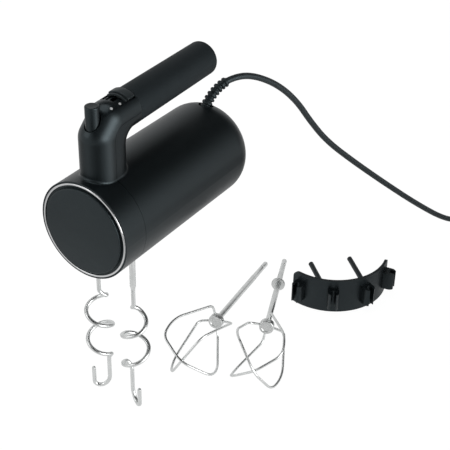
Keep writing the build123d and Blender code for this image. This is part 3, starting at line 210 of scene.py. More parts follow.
class EffectLibrary:
    """Shader node groups that several finishes share, each built once."""

    BLOTCHES = 45.0
    CLOUDS = 90.0
    # Scale of the patchy pale edges: partly real rubbing, partly a painted edge highlight.
    RUBBED = 420.0
    SMEARS = (30.0, 11.0, 24.0)
    EDGE_RADIUS = 0.0006
    MIDDLE = (0.35, 0.65)
    WIDE_MIDDLE = (0.3, 0.7)

    def __init__(self) -> None:
        """Build the groups."""
        self.grain = self._moulded_grain()
        self.wear = self._edge_wear()
        self.drawn = self._drawn_metal()
        self.film = self._handling_film()

    @staticmethod
    def _start(
            name: str, inputs: dict[str, str],
            outputs: dict[str, str]) -> tuple[NodeDesk, bpy.types.bpy_prop_collection, bpy.types.Node]:
        """Open a group with named sockets.

        Args:
            name: Name of the group.
            inputs: Socket types by name.
            outputs: Socket types by name.

        Returns:
            A desk on the group, what it is given and its output node.
        """
        group = bpy.data.node_groups.new(name, "ShaderNodeTree")
        for way, sockets in (("INPUT", inputs), ("OUTPUT", outputs)):
            for socket, kind in sockets.items():
                group.interface.new_socket(socket, in_out=way, socket_type="NodeSocket" + kind)
        desk = NodeDesk(group)
        return desk, desk.add("NodeGroupInput").outputs, desk.add("NodeGroupOutput")

    def _moulded_grain(self) -> bpy.types.NodeTree:
        """Spark-eroded grain of moulded plastic.

        Returns:
            A group with a blotched colour, a roughness and a height.
        """
        desk, given, result = self._start(
            "moulded_grain",
            {"Deep": "Color", "Pale": "Color", "Scale": "Float", "Smooth": "Float", "Dull": "Float"},
            {"Colour": "Color", "Roughness": "Float", "Height": "Float"})
        place = desk.place()
        fine = desk.noise(place, given["Scale"], 3.0)
        pits = desk.add("ShaderNodeTexVoronoi", None, {
            "Vector": place, "Scale": desk.math("MULTIPLY", given["Scale"], 0.7)}).outputs["Distance"]
        blotch = desk.span(desk.noise(place, self.BLOTCHES, 4.0), self.MIDDLE, 0.0, 1.0)
        desk.feed(result, {
            "Colour": desk.mix(blotch, given["Deep"], given["Pale"]),
            "Roughness": desk.span(fine, self.MIDDLE, given["Smooth"], given["Dull"]),
            "Height": desk.math("ADD", desk.math("MULTIPLY", fine, 0.6), desk.math("MULTIPLY", pits, 0.4))})
        return desk.tree

    def _edge_wear(self) -> bpy.types.NodeTree:
        """Edges made a little paler: partly real rubbing, partly a painted edge highlight.

        Returns:
            A group that turns a colour into the paler edge colour, rubbing and painted highlight together.
        """
        desk, given, result = self._start(
            "edge_wear_and_highlight", {"Colour": "Color", "Worn": "Color", "Amount": "Float"}, {"Colour": "Color"})
        soft = desk.add("ShaderNodeBevel", {"samples": 4}, {"Radius": self.EDGE_RADIUS}).outputs[0]
        true = desk.add("ShaderNodeNewGeometry").outputs["Normal"]
        edge = desk.span(desk.vector("DOT_PRODUCT", soft, true).outputs["Value"], (0.99, 0.86), 0.0, 1.0)
        patchy = desk.span(desk.noise(desk.place(), self.RUBBED, 4.0), (0.4, 0.62), 0.15, 1.0)
        # Share of paler edge colour: partly real rubbing, partly a painted edge highlight.
        wear_and_highlight_mask = desk.math("MULTIPLY", desk.math("MULTIPLY", edge, patchy), given["Amount"])
        desk.feed(result, {"Colour": desk.mix(wear_and_highlight_mask, given["Colour"], given["Worn"])})
        return desk.tree

    def _drawn_metal(self) -> bpy.types.NodeTree:
        """Fine draw lines and slight clouding of bright metal.

        Returns:
            A group with a colour, a roughness and a height.
        """
        desk, given, result = self._start(
            "drawn_metal",
            {"Dark": "Color", "Bright": "Color", "Stretch": "Vector", "Smooth": "Float", "Dull": "Float"},
            {"Colour": "Color", "Roughness": "Float", "Height": "Float"})
        place = desk.place()
        lines = desk.noise(desk.vector("MULTIPLY", place, given["Stretch"]).outputs[0], 1.0, 3.0)
        cloud = desk.span(desk.noise(place, self.CLOUDS, 3.0), self.MIDDLE, 0.0, 1.0)
        desk.feed(result, {
            "Colour": desk.mix(cloud, given["Dark"], given["Bright"]),
            "Roughness": desk.span(lines, self.WIDE_MIDDLE, given["Smooth"], given["Dull"]),
            "Height": lines})
        return desk.tree

    def _handling_film(self) -> bpy.types.NodeTree:
        """Faint smears that hands and cloths leave.

        Returns:
            A group that shifts a roughness.
        """
        desk, given, result = self._start(
            "handling_film", {"Roughness": "Float", "Shift": "Float"}, {"Roughness": "Float"})
        drift = desk.vector("MULTIPLY", desk.place(), self.SMEARS).outputs[0]
        smear = desk.span(desk.noise(drift, 1.0, 5.0), self.WIDE_MIDDLE, -0.5, 0.5)
        shift = desk.math("MULTIPLY", smear, given["Shift"])
        desk.feed(result, {"Roughness": desk.math("ADD", given["Roughness"], shift)})
        return desk.tree


def rgba(colour: Colour) -> Quad:
    """Give a colour its alpha."""
    return (*colour, 1.0)


class Surface:
    """One material around Blender's own Principled shader."""

    def __init__(self, name: str, film: bpy.types.NodeTree, settings: dict) -> None:
        """Start the material.

        Args:
            name: Name of the finish.
            film: Shared group that smears a roughness.
            settings: Plain values of the shader's own sockets.
        """
        self.material = bpy.data.materials.new(name)
        self.material.use_nodes = True
        self.film = film
        self.desk = NodeDesk(self.material.node_tree)
        self.shader = self.material.node_tree.nodes["Principled BSDF"]
        for key, value in settings.items():
            self.shader.inputs[key].default_value = value

    def close(
            self, colour: Socket, roughness: tuple[Socket, float], height: Socket,
            bump: Pair) -> bpy.types.Material:
        """Link the shader's inputs.

        Args:
            colour: Base colour.
            roughness: Roughness, and how far smears shift it.
            height: Height of the relief.
            bump: Strength and depth of the relief.

        Returns:
            The finished material.
        """
        smeared = self.desk.group(self.film, {"Roughness": roughness[0], "Shift": roughness[1]})
        relief = self.desk.add("ShaderNodeBump", None, {
            "Strength": bump[0], "Distance": bump[1], "Height": height})
        self.desk.feed(self.shader, {
            "Base Color": colour, "Roughness": smeared.outputs["Roughness"],
            "Normal": relief.outputs["Normal"]})
        return self.material


@dataclass(frozen=True)
class MouldedPlastic:
    """Moulded plastic or rubber with a spark-eroded grain."""

    name: str
    deep: Colour
    pale: Colour
    # Paler edge colour: partly real rubbing, partly a painted edge highlight.
    worn: Colour
    roughness: Pair
    grain: float
    relief: float
    # Strength of the paler edges: partly real rubbing, partly a painted edge highlight.
    wear: float = 0.35
    smear: float = 0.06
    specular: float = 0.5
    bump: float = 0.35
    tint: Colour = (0.76, 0.93, 1.0)

    def build(self, effects: EffectLibrary) -> bpy.types.Material:
        """Make the material.

        Args:
            effects: Shared node groups.

        Returns:
            The material.
        """
        surface = Surface(self.name, effects.film, {
            "Specular IOR Level": self.specular, "Specular Tint": rgba(self.tint)})
        grain = surface.desk.group(effects.grain, {
            "Deep": rgba(self.deep), "Pale": rgba(self.pale), "Scale": self.grain,
            "Smooth": self.roughness[0], "Dull": self.roughness[1]}).outputs
        # Paler edges: partly real rubbing, partly a painted edge highlight.
        worn = surface.desk.group(effects.wear, {
            "Colour": grain["Colour"], "Worn": rgba(self.worn), "Amount": self.wear}).outputs
        return surface.close(
            worn["Colour"], (grain["Roughness"], self.smear), grain["Height"], (self.bump, self.relief))


@dataclass(frozen=True)
class DrawnMetal:
    """Bare metal with draw lines."""

    name: str
    dark: Colour
    bright: Colour
    stretch: Triple
    roughness: Pair
    relief: float
    smear: float = 0.05
    bump: float = 0.2

    def build(self, effects: EffectLibrary) -> bpy.types.Material:
        """Make the material.

        Args:
            effects: Shared node groups.

        Returns:
            The material.
        """
        surface = Surface(self.name, effects.film, {"Metallic": 1.0})
        drawn = surface.desk.group(effects.drawn, {
            "Dark": rgba(self.dark), "Bright": rgba(self.bright), "Stretch": self.stretch,
            "Smooth": self.roughness[0], "Dull": self.roughness[1]}).outputs
        return surface.close(
            drawn["Colour"], (drawn["Roughness"], self.smear), drawn["Height"], (self.bump, self.relief))


@dataclass(frozen=True)
class BandedMetal:
    """Metal made of fine layers or strands: laminated sheets or wound wire."""

    name: str
    dark: Colour
    bright: Colour
    along: str
    bands: float
    roughness: float
    smear: float = 0.1
    bump: float = 0.5
    relief: float = 0.0002

    def build(self, effects: EffectLibrary) -> bpy.types.Material:
        """Make the material.

        Args:
            effects: Shared node groups.

        Returns:
            The material.
        """
        surface = Surface(self.name, effects.film, {"Metallic": 1.0})
        desk = surface.desk
        band = desk.add("ShaderNodeTexWave", {"bands_direction": self.along}, {
            "Vector": desk.place(), "Scale": self.bands, "Distortion": 0.6, "Detail": 2.0}).outputs["Fac"]
        colour = desk.mix(band, rgba(self.dark), rgba(self.bright))
        rough = desk.span(band, (0.0, 1.0), self.roughness + self.smear, self.roughness)
        return surface.close(colour, (rough, self.smear), band, (self.bump, self.relief))


Finish = MouldedPlastic | DrawnMetal | BandedMetal
# The third colour of each moulded finish is its paler edge colour: partly real rubbing, partly a painted
# edge highlight.
SHELL = MouldedPlastic(
    "satin_black_shell", (0.0046, 0.0068, 0.0078), (0.0062, 0.0088, 0.0100), (0.030, 0.034, 0.036),
    (0.30, 0.38), 5200.0, 0.00004, smear=0.05)
DISC = MouldedPlastic(
    "slate_disc", (0.012, 0.0165, 0.0185), (0.015, 0.020, 0.022), (0.05, 0.056, 0.06),
    (0.40, 0.50), 4200.0, 0.00006)
GRIP = MouldedPlastic(
    "soft_touch_grip", (0.0095, 0.0125, 0.0145), (0.012, 0.0155, 0.0175), (0.02, 0.024, 0.026),
    (0.58, 0.70), 3600.0, 0.00008, wear=0.15, specular=0.36)
CONTROL = MouldedPlastic(
    "control_black", (0.006, 0.0085, 0.0096), (0.008, 0.011, 0.0125), (0.035, 0.039, 0.042),
    (0.22, 0.30), 4800.0, 0.00004, wear=0.5)
SLIDER = MouldedPlastic(
    "slider_slate", (0.013, 0.017, 0.0185), (0.030, 0.036, 0.038), (0.11, 0.12, 0.125),
    (0.34, 0.46), 1500.0, 0.00012, wear=0.7)
HOLDER_BLACK = MouldedPlastic(
    "holder_black", (0.0035, 0.005, 0.006), (0.005, 0.007, 0.008), (0.030, 0.034, 0.037),
    (0.34, 0.44), 3800.0, 0.00006, wear=0.45)
JACKET = MouldedPlastic(
    "lead_jacket", (0.018, 0.0215, 0.023), (0.024, 0.0285, 0.030), (0.03, 0.033, 0.035),
    (0.42, 0.54), 2600.0, 0.00005, wear=0.0)
BOOT = MouldedPlastic(
    "boot_rubber", (0.0075, 0.0098, 0.0108), (0.0105, 0.0132, 0.0142), (0.03, 0.033, 0.035),
    (0.42, 0.55), 3000.0, 0.00005, wear=0.2)
PRINT = MouldedPlastic(
    "printed_white", (0.78, 0.80, 0.80), (0.84, 0.86, 0.86), (0.6, 0.62, 0.62),
    (0.45, 0.55), 5000.0, 0.00001, wear=0.2)
INNER = MouldedPlastic(
    "inner_moulding", (0.40, 0.40, 0.38), (0.46, 0.46, 0.44), (0.6, 0.6, 0.58),
    (0.45, 0.6), 2400.0, 0.00006)
NYLON = MouldedPlastic(
    "nylon_gear", (0.72, 0.70, 0.62), (0.80, 0.78, 0.70), (0.85, 0.84, 0.78),
    (0.35, 0.5), 2600.0, 0.00005)
CARBON = MouldedPlastic(
    "carbon_block", (0.018, 0.018, 0.019), (0.03, 0.03, 0.031), (0.08, 0.08, 0.08),
    (0.6, 0.8), 1800.0, 0.00010)
CHROME = DrawnMetal(
    "chrome_trim", (0.80, 0.81, 0.82), (0.88, 0.885, 0.89), (300.0, 300.0, 300.0), (0.05, 0.12), 0.00001)
WIRE = DrawnMetal(
    "polished_wire", (0.80, 0.82, 0.815), (0.90, 0.915, 0.91), (260.0, 260.0, 900.0), (0.22, 0.34), 0.00003)
HUB = DrawnMetal(
    "tumbled_hub", (0.70, 0.715, 0.71), (0.80, 0.81, 0.805), (700.0, 700.0, 700.0), (0.28, 0.42), 0.00004)
STEEL = DrawnMetal(
    "turned_steel", (0.50, 0.51, 0.52), (0.60, 0.61, 0.62), (120.0, 1500.0, 1500.0), (0.22, 0.38), 0.00003)
BRASS = DrawnMetal(
    "brass_pins", (0.60, 0.44, 0.20), (0.72, 0.54, 0.27), (500.0, 500.0, 500.0), (0.16, 0.28), 0.00002)
LAMINATED = BandedMetal("laminated_steel", (0.16, 0.16, 0.17), (0.36, 0.36, 0.37), "Y", 320.0, 0.42)
COPPER = BandedMetal("enamelled_copper", (0.30, 0.10, 0.04), (0.66, 0.30, 0.14), "DIAGONAL", 260.0, 0.28)

NODE_FINISHES = {
    SHELL: ["barrel_housing", "front_housing"],
    CONTROL: [
        "control_bezel", "spindle_bush_left", "spindle_bush_right", "grip_core", "slider_track",
        "speed_switch"],
    HOLDER_BLACK: ["storage_holder"],
    PRINT: ["speed_marks"],
    JACKET: ["plug_body", "internal_lead"],
    INNER: [
        "eject_rod", "eject_yoke", "eject_bracket", "gear_case", "gear_case_cover", "cooling_fan",
        "motor_ring_front", "motor_ring_rear", "rear_bracket", "cord_clamp"],
    NYLON: ["drive_gear_left", "drive_gear_right"],
    STEEL: ["gear_case_screws", "spindle_left", "spindle_right", "armature_shaft", "motor_bolts"],
    BRASS: ["front_bearing", "middle_bearing", "rear_bearing", "brush_holders", "plug_pins"],
    LAMINATED: ["armature_core", "stator_core"],
    COPPER: ["armature_winding", "commutator", "field_windings"],
    CARBON: ["carbon_brushes"],
}


class Workshop:
    """Builds pieces, dresses them and ties them to the frame."""

    def __init__(self, frame: dict) -> None:
        """Keep the frame and open the finishes.

        Args:
            frame: What the frame's loader returned.
        """
        self.frame = frame
        self.effects = EffectLibrary()
        self.made: dict[str, bpy.types.Material] = {}

    def finish(self, kind: Finish) -> bpy.types.Material:
        """Give a finish's material.

        Args:
            kind: The finish.

        Returns:
            Its material, made on first use.
        """
        if kind.name not in self.made:
            self.made[kind.name] = kind.build(self.effects)
        return self.made[kind.name]

    def dress(self, node: str, kind: Finish) -> None:
        """Give a node of the frame a finish.

        Args:
            node: Name of the node.
            kind: The finish.
        """
        mesh = self.frame["nodes"][node].data
        mesh.materials.clear()
        mesh.materials.append(self.finish(kind))

    def piece(
            self, name: str, mesh: bmesh.types.BMesh, kind: Finish, body: Body,
            instead: Sequence[str] = (), crease: float = 40.0) -> bpy.types.Object:
        """Turn a mesh into a piece that rides on a body.

        Args:
            name: Name of the piece.
            mesh: Its mesh, in the frame's metres.
            kind: Its finish.
            body: Body that it rides on.
            instead: Nodes that it stands for.
            crease: Angle above which an edge stays sharp.

        Returns:
            The new object.
        """
        bmesh.ops.recalc_face_normals(mesh, faces=mesh.faces)
        data = bpy.data.meshes.new(name)
        mesh.to_mesh(data)
        mesh.free()
        data.shade_smooth()
        data.set_sharp_from_angle(angle=math.radians(crease))
        data.materials.append(self.finish(kind))
        made = bpy.data.objects.new(name, data)
        bpy.context.scene.collection.objects.link(made)
        return self.settle(made, body, instead)

    def settle(
            self, made: bpy.types.Object, body: Body,
            instead: Sequence[str]) -> bpy.types.Object:
        """Tie an object to the frame.

        Args:
            made: The object.
            body: Body that it rides on.
            instead: Nodes that it stands for.

        Returns:
            The same object.
        """
        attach(made, body.value)
        if instead:
            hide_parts(*instead)
        LOG.info("%s rides on %s", made.name, body.value)
        return made


def frame_of(origin: Vector, axis: Vector, across: Vector) -> Matrix:
    """Place for a turned piece.

    Args:
        origin: Point on its axis.
        axis: Direction of its axis, which becomes Z.
        across: Direction that becomes X, made square to the axis.

    Returns:
        The place as a matrix.
    """
    along = axis.normalized()
    side = (across - along * across.dot(along)).normalized()
    front = along.cross(side)
    turn = Matrix((side, front, along)).transposed()
    return Matrix.Translation(origin) @ turn.to_4x4()


def bridge(mesh: bmesh.types.BMesh, low: Ring, high: Ring) -> None:
    """Close the band between two rings of vertices.

    Args:
        mesh: Mesh that takes the faces.
        low: First ring, or a single vertex.
        high: Second ring, or a single vertex.
    """
    steps = max(len(low), len(high))
    for k in range(steps):
        n = (k + 1) % steps
        corners = [low[k % len(low)], low[n % len(low)], high[n % len(high)], high[k % len(high)]]
        mesh.faces.new(list(dict.fromkeys(corners)))


def turn_profile(mesh: bmesh.types.BMesh, place: Matrix, profile: Profile, steps: int) -> None:
    """Turn a profile of (radius, height) millimetres into a closed solid.

    Args:
        mesh: Mesh that takes the faces.
        place: Where the turned piece stands.
        profile: Corners from the axis out and back to it, or a closed ring.
        steps: Divisions of the turn.
    """
    rings = []
    for radius, height in profile:
        if radius < 1e-6:
            rings.append([mesh.verts.new(place @ Vector((0, 0, height * MM)))])
            continue
        ring = []
        for k in range(steps):
            a = 2 * math.pi * k / steps
            spot = Vector((radius * math.cos(a), radius * math.sin(a), height)) * MM
            ring.append(mesh.verts.new(place @ spot))
        rings.append(ring)
    for low, high in zip(rings, rings[1:]):
        bridge(mesh, low, high)
    if len(rings[0]) > 1 and len(rings[-1]) > 1:
        bridge(mesh, rings[-1], rings[0])


def corner_arc(
        before: Vector, here: Vector, after: Vector, radius: float,
        count: Callable[[float], int]) -> list[Vector]:
    """Arc that rounds a corner.

    Args:
        before: Point before the corner.
        here: The corner.
        after: Point after the corner.
        radius: Radius of the arc.
        count: Number of steps for the angle that the arc sweeps.

    Returns:
        Points along the arc.
    """
    back = (before - here).normalized()
    ahead = (after - here).normalized()
    sweep = math.pi - back.angle(ahead)
    reach = radius * math.tan(sweep / 2)
    centre = here + (back + ahead).normalized() * (radius / math.cos(sweep / 2))
    first = here + back * reach - centre
    last = here + ahead * reach - centre
    steps = count(sweep)
    points = []
    for k in range(steps + 1):
        share = k / steps
        spoke = first * math.sin((1 - share) * sweep) + last * math.sin(share * sweep)
        points.append(centre + spoke / math.sin(sweep))
    return points


def rounded(corners: Profile, rounds: dict[int, float], steps: int = 5) -> list[Pair]:
    """Round some corners of a flat outline.

    Args:
        corners: Outline of (across, along) values.
        rounds: Radius by index of the corner.
        steps: Points per rounded corner, less one.

    Returns:
        The outline with its arcs.
    """
    out: list[Pair] = []
    count = len(corners)
    for index, corner in enumerate(corners):
        if index not in rounds:
            out.append(corner)
            continue
        before, after = Vector(corners[index - 1]), Vector(corners[(index + 1) % count])
        arc = corner_arc(before, Vector(corner), after, rounds[index], lambda sweep: steps)
        out.extend(tuple(point) for point in arc)
    return out


def bent_line(corners: Sequence[Vector], rounds: Sequence[float], step: float) -> list[Vector]:
    """Line of a bent wire: straight runs with an arc at each inner corner.

    Args:
        corners: Corners in order.
        rounds: Bend radius at each inner corner.
        step: Greatest angle between points of an arc, in radians.

    Returns:
        Points along the line.
    """
    line = [corners[0]]
    for before, here, after, radius in zip(corners, corners[1:], corners[2:], rounds):
        line += corner_arc(before, here, after, radius, lambda sweep: max(2, math.ceil(sweep / step)))
    line.append(corners[-1])
    return line


@dataclass
class Station:
    """One cross section of a swept tube."""

    spot: Vector
    across: Vector
    way: Vector
    size: float

    def ring(self, mesh: bmesh.types.BMesh, steps: int, lift: float = 0.0, share: float = 1.0) -> Ring:
        """Put a circle of vertices into a mesh.

        Args:
            mesh: Mesh that takes them.
            steps: Number of vertices.
            lift: Distance ahead of the station.
            share: Share of the station's radius.

        Returns:
            The vertices in order.
        """
        up = self.way.cross(self.across)
        ring = []
        for k in range(steps):
            a = 2 * math.pi * k / steps
            spoke = (self.across * math.cos(a) + up * math.sin(a)) * (self.size * share)
            ring.append(mesh.verts.new(self.spot + self.way * lift + spoke))
        return ring


def sweep_tube(
        mesh: bmesh.types.BMesh, line: Sequence[Vector], radius: Callable[[int], float], steps: int,
        domed: bool = True) -> None:
    """Sweep a round tube along points.

    Args:
        mesh: Mesh that takes the faces.
        line: Points in metres.
        radius: Radius in metres at a point's index.
        steps: Divisions round the tube.
        domed: Whether its ends are domed rather than flat.
    """
    stations = []
    across = (line[1] - line[0]).orthogonal()
    for k, spot in enumerate(line):
        way = (line[min(k + 1, len(line) - 1)] - line[max(k - 1, 0)]).normalized()
        across = (across - way * across.dot(way)).normalized()
        stations.append(Station(spot, across, way, radius(k)))
    rings = [station.ring(mesh, steps) for station in stations]
    for low, high in zip(rings, rings[1:]):
        bridge(mesh, low, high)
    for index, sign in ((0, -1), (-1, 1)):
        ring, station = rings[index], stations[index]
        height = sign * station.size if domed else 0.0
        for angle in DOME_ANGLES if domed else ():
            inner = station.ring(mesh, steps, height * math.sin(angle), math.cos(angle))
            bridge(mesh, ring, inner)
            ring = inner
        bridge(mesh, ring, [mesh.verts.new(station.spot + station.way * height)])


def ease(share: float) -> float:
    """Share of a rise that starts and ends level."""
    return 0.5 - 0.5 * math.cos(share * math.pi)


def flowing_line(stations: Sequence[tuple[Vector, Vector]], steps: int) -> list[Vector]:
    """Smooth line through points with given directions.

    Args:
        stations: Points and unit directions.
        steps: Points per stretch.

    Returns:
        Points along the line.
    """
    line = [stations[0][0]]
    for (start, leave), (end, arrive) in zip(stations, stations[1:]):
        chord = (end - start).length
        angle = leave.angle(arrive)
        pull = chord if angle < 1e-3 else chord * (angle / 2) / math.sin(angle / 2)
        for k in range(1, steps + 1):
            t = k / steps
            line.append(
                start * (2 * t ** 3 - 3 * t ** 2 + 1) + leave * pull * (t ** 3 - 2 * t ** 2 + t)
                + end * (3 * t ** 2 - 2 * t ** 3) + arrive * pull * (t ** 3 - t ** 2))
    return line


@dataclass
class FrontFace:
    """Chrome ring and plain raised disc on the barrel's front."""

    ring_out: float = 44.35
    ring_in: float = 42.45
    ring_proud: float = 0.5
    ring_crown: float = 0.18
    ring_round: float = 0.6
    seat: float = 3.0
    disc_r: float = 40.1
    flange_r: float = 42.4
    flange_front: float = 0.9
    disc_proud: float = 2.3
    disc_crown: float = 0.12
    disc_round: float = 1.0
    rim_width: float = 3.0
    pocket: float = 3.0
    steps: int = 192

    def build(self, shop: Workshop) -> None:
        """Build and dress both pieces.

        Args:
            shop: Workshop that ties them to the frame.
        """
        place = frame_of(at(0, 0, 0), -Y_AXIS, X_AXIS)
        middle = (self.ring_out + self.ring_in) / 2
        ring = bmesh.new()
        profile = rounded(
            [(self.ring_in, -self.seat), (self.ring_out, -self.seat), (self.ring_out, self.ring_proud),
             (middle, self.ring_proud + self.ring_crown), (self.ring_in, self.ring_proud)],
            {2: self.ring_round, 4: self.ring_round})
        turn_profile(ring, place, profile, self.steps)
        shop.piece("front_ring", ring, CHROME, Body.MIXER, ["trim_ring"], 50.0)
        disc = bmesh.new()
        rim = self.disc_r - self.rim_width
        profile = [(0, self.pocket - self.seat), (rim, self.pocket - self.seat), (rim, -self.seat)]
        profile += [(self.flange_r, -self.seat), (self.flange_r, -self.flange_front)]
        profile += rounded(
            [(self.disc_r, -self.flange_front), (self.disc_r, self.disc_proud - self.disc_crown),
             (0.0, self.disc_proud)], {1: self.disc_round})
        turn_profile(disc, place, profile, self.steps)
        shop.piece("front_plate", disc, DISC, Body.MIXER, ["front_disc"])


@dataclass
class Grip:
    """Soft sleeve over the handle's core."""

    start: float = 22.3
    end: float = 135.2
    front_r: float = 16.5
    rear_r: float = 16.0
    thick: float = 3.0
    end_round: float = 4.5
    mouth_round: float = 0.5
    slack: float = 0.05
    steps: int = 128

    def build(self, shop: Workshop) -> None:
        """Build and dress the sleeve.

        Args:
            shop: Workshop that ties it to the frame.
        """
        axis = Vector((0, math.cos(GRIP_TILT), math.sin(GRIP_TILT)))
        place = frame_of(at(*GRIP_FOOT), axis, X_AXIS)
        inner = self.front_r - self.thick + self.slack
        inner_rear = self.rear_r - self.thick + self.slack
        sleeve = bmesh.new()
        profile = rounded(
            [(0, self.end - self.thick), (inner_rear, self.end - self.thick), (inner, self.start),
             (self.front_r, self.start), (self.rear_r, self.end), (0, self.end)],
            {3: self.mouth_round, 4: self.end_round}, 8)
        turn_profile(sleeve, place, profile, self.steps)
        shop.piece("soft_sleeve", sleeve, GRIP, Body.MIXER, ["grip_sleeve"])


@dataclass
class Controls:
    """Eject button with its spring, and speed slider."""

    button_r: float = 6.1
    button_y: float = 17.8
    button_top: float = 111.0
    button_bottom: float = 80.0
    button_rim: float = 1.4
    button_dish: float = 0.35
    button_round: float = 0.9
    travel: float = 8.0
    spring_bottom: float = 63.0
    spring_r: float = 4.3
    spring_wire: float = 0.9
    spring_turns: int = 6
    spring_steps: int = 24
    recess_r: float = 15.0
    clearance: float = 0.3
    slider_half: float = math.radians(36.5)
    slider_steps: int = 28
    slider_front: float = 9.4
    slider_rear: float = 20.3
    slider_top: float = 18.3
    slider_foot: float = 0.4
    lip_width: float = 1.3
    lip_drop: float = 1.1
    groove_width: float = 1.3
    groove_drop: float = 2.3
    end_drop: float = 0.35
    end_share: float = 0.93
    stem_width: float = 4.0
    stem_front: float = 8.0
    stem_back: float = 2.0
    stem_sink: float = 0.5
    switch_top: float = 9.3

    def build(self, shop: Workshop) -> None:
        """Build and dress the controls.

        Args:
            shop: Workshop that ties them to the frame.
        """
        self._button(shop)
        self._spring(shop)
        self._slider(shop)

    def _button(self, shop: Workshop) -> None:
        """Turn the button with its dished top.

        Args:
            shop: Workshop that ties it to the frame.
        """
        button = bmesh.new()
        place = frame_of(at(0, self.button_y, 0), Z_AXIS, X_AXIS)
        r, top = self.button_r, self.button_top
        profile = rounded(
            [(0, self.button_bottom), (r, self.button_bottom), (r, top), (r - self.button_rim, top),
             (0, top - self.button_dish)], {2: self.button_round})
        turn_profile(button, place, profile, 72)
        shop.piece("eject_key", button, CONTROL, Body.EJECT, ["eject_button"])

    def _spring(self, shop: Workshop) -> None:
        """Wind the return spring at its rest length; it rides on the mixer and does not shorten when the
        button goes down.

        Args:
            shop: Workshop that ties it to the frame.
        """
        height = self.button_bottom - self.spring_bottom
        steps = self.spring_steps * self.spring_turns
        climb = (height - self.spring_wire) / steps
        line = []
        for k in range(steps + 1):
            a = 2 * math.pi * k / self.spring_steps
            z = self.spring_bottom + self.spring_wire / 2 + climb * k
            line.append(at(self.spring_r * math.cos(a), self.button_y + self.spring_r * math.sin(a), z))
        spring = bmesh.new()
        sweep_tube(spring, line, lambda k: self.spring_wire / 2 * MM, 12, False)
        made = shop.piece("eject_spring_wire", spring, STEEL, Body.MIXER, ["eject_spring"])
        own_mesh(made)

    def _outline(self, low: float) -> list[Pair]:
        """Section of the slider: lip, groove and thumb piece.

        Args:
            low: Radius of its underside.

        Returns:
            Corners of (radius, distance along the grip).
        """
        top, front, rear = self.slider_top, self.slider_front, self.slider_rear
        lip, groove = top - self.lip_drop, top - self.groove_drop
        lip_back = front + self.lip_width
        face = lip_back + self.groove_width
        corners = [
            (low, front), (lip, front), (lip, lip_back), (groove, lip_back), (groove, face),
            (top, face), (top, rear), (low, rear)]
        return rounded(corners, {1: 0.3, 2: 0.3, 5: 0.35, 6: 0.5}, 3)

    def _slider(self, shop: Workshop) -> None:
        """Arch the slider's outline over the handle and add its stem.

        Args:
            shop: Workshop that ties it to the frame.
        """
        tilt = Matrix.Translation(at(*GRIP_FOOT)) @ Matrix.Rotation(GRIP_TILT, 4, "X")
        low = self.recess_r + self.clearance
        outline = self._outline(low)
        slider = bmesh.new()
        rings = []
        for k in range(self.slider_steps + 1):
            share = 2 * k / self.slider_steps - 1
            angle = self.slider_half * share
            drop = self.end_drop * max(0.0, abs(share) - self.end_share) / (1 - self.end_share)
            ring = []
            for radius, along in outline:
                reach = radius - (drop if radius > low + self.slider_foot else 0.0)
                spot = Vector((reach * math.sin(angle), along, reach * math.cos(angle))) * MM
                ring.append(slider.verts.new(tilt @ spot))
            rings.append(ring)
        for first, second in zip(rings, rings[1:]):
            bridge(slider, first, second)
        slider.faces.new(rings[0])
        slider.faces.new(rings[-1])
        front, back = self.slider_rear - self.stem_front, self.slider_rear - self.stem_back
        top = low + self.stem_sink
        size = Vector((self.stem_width, back - front, top - self.switch_top)) * MM
        centre = Vector((0, (front + back) / 2, (top + self.switch_top) / 2)) * MM
        for vert in bmesh.ops.create_cube(slider, size=1.0)["verts"]:
            vert.co = tilt @ (centre + Vector(a * b for a, b in zip(vert.co, size)))
        shop.piece("speed_key", slider, SLIDER, Body.SLIDER, ["speed_slider"], 30.0)


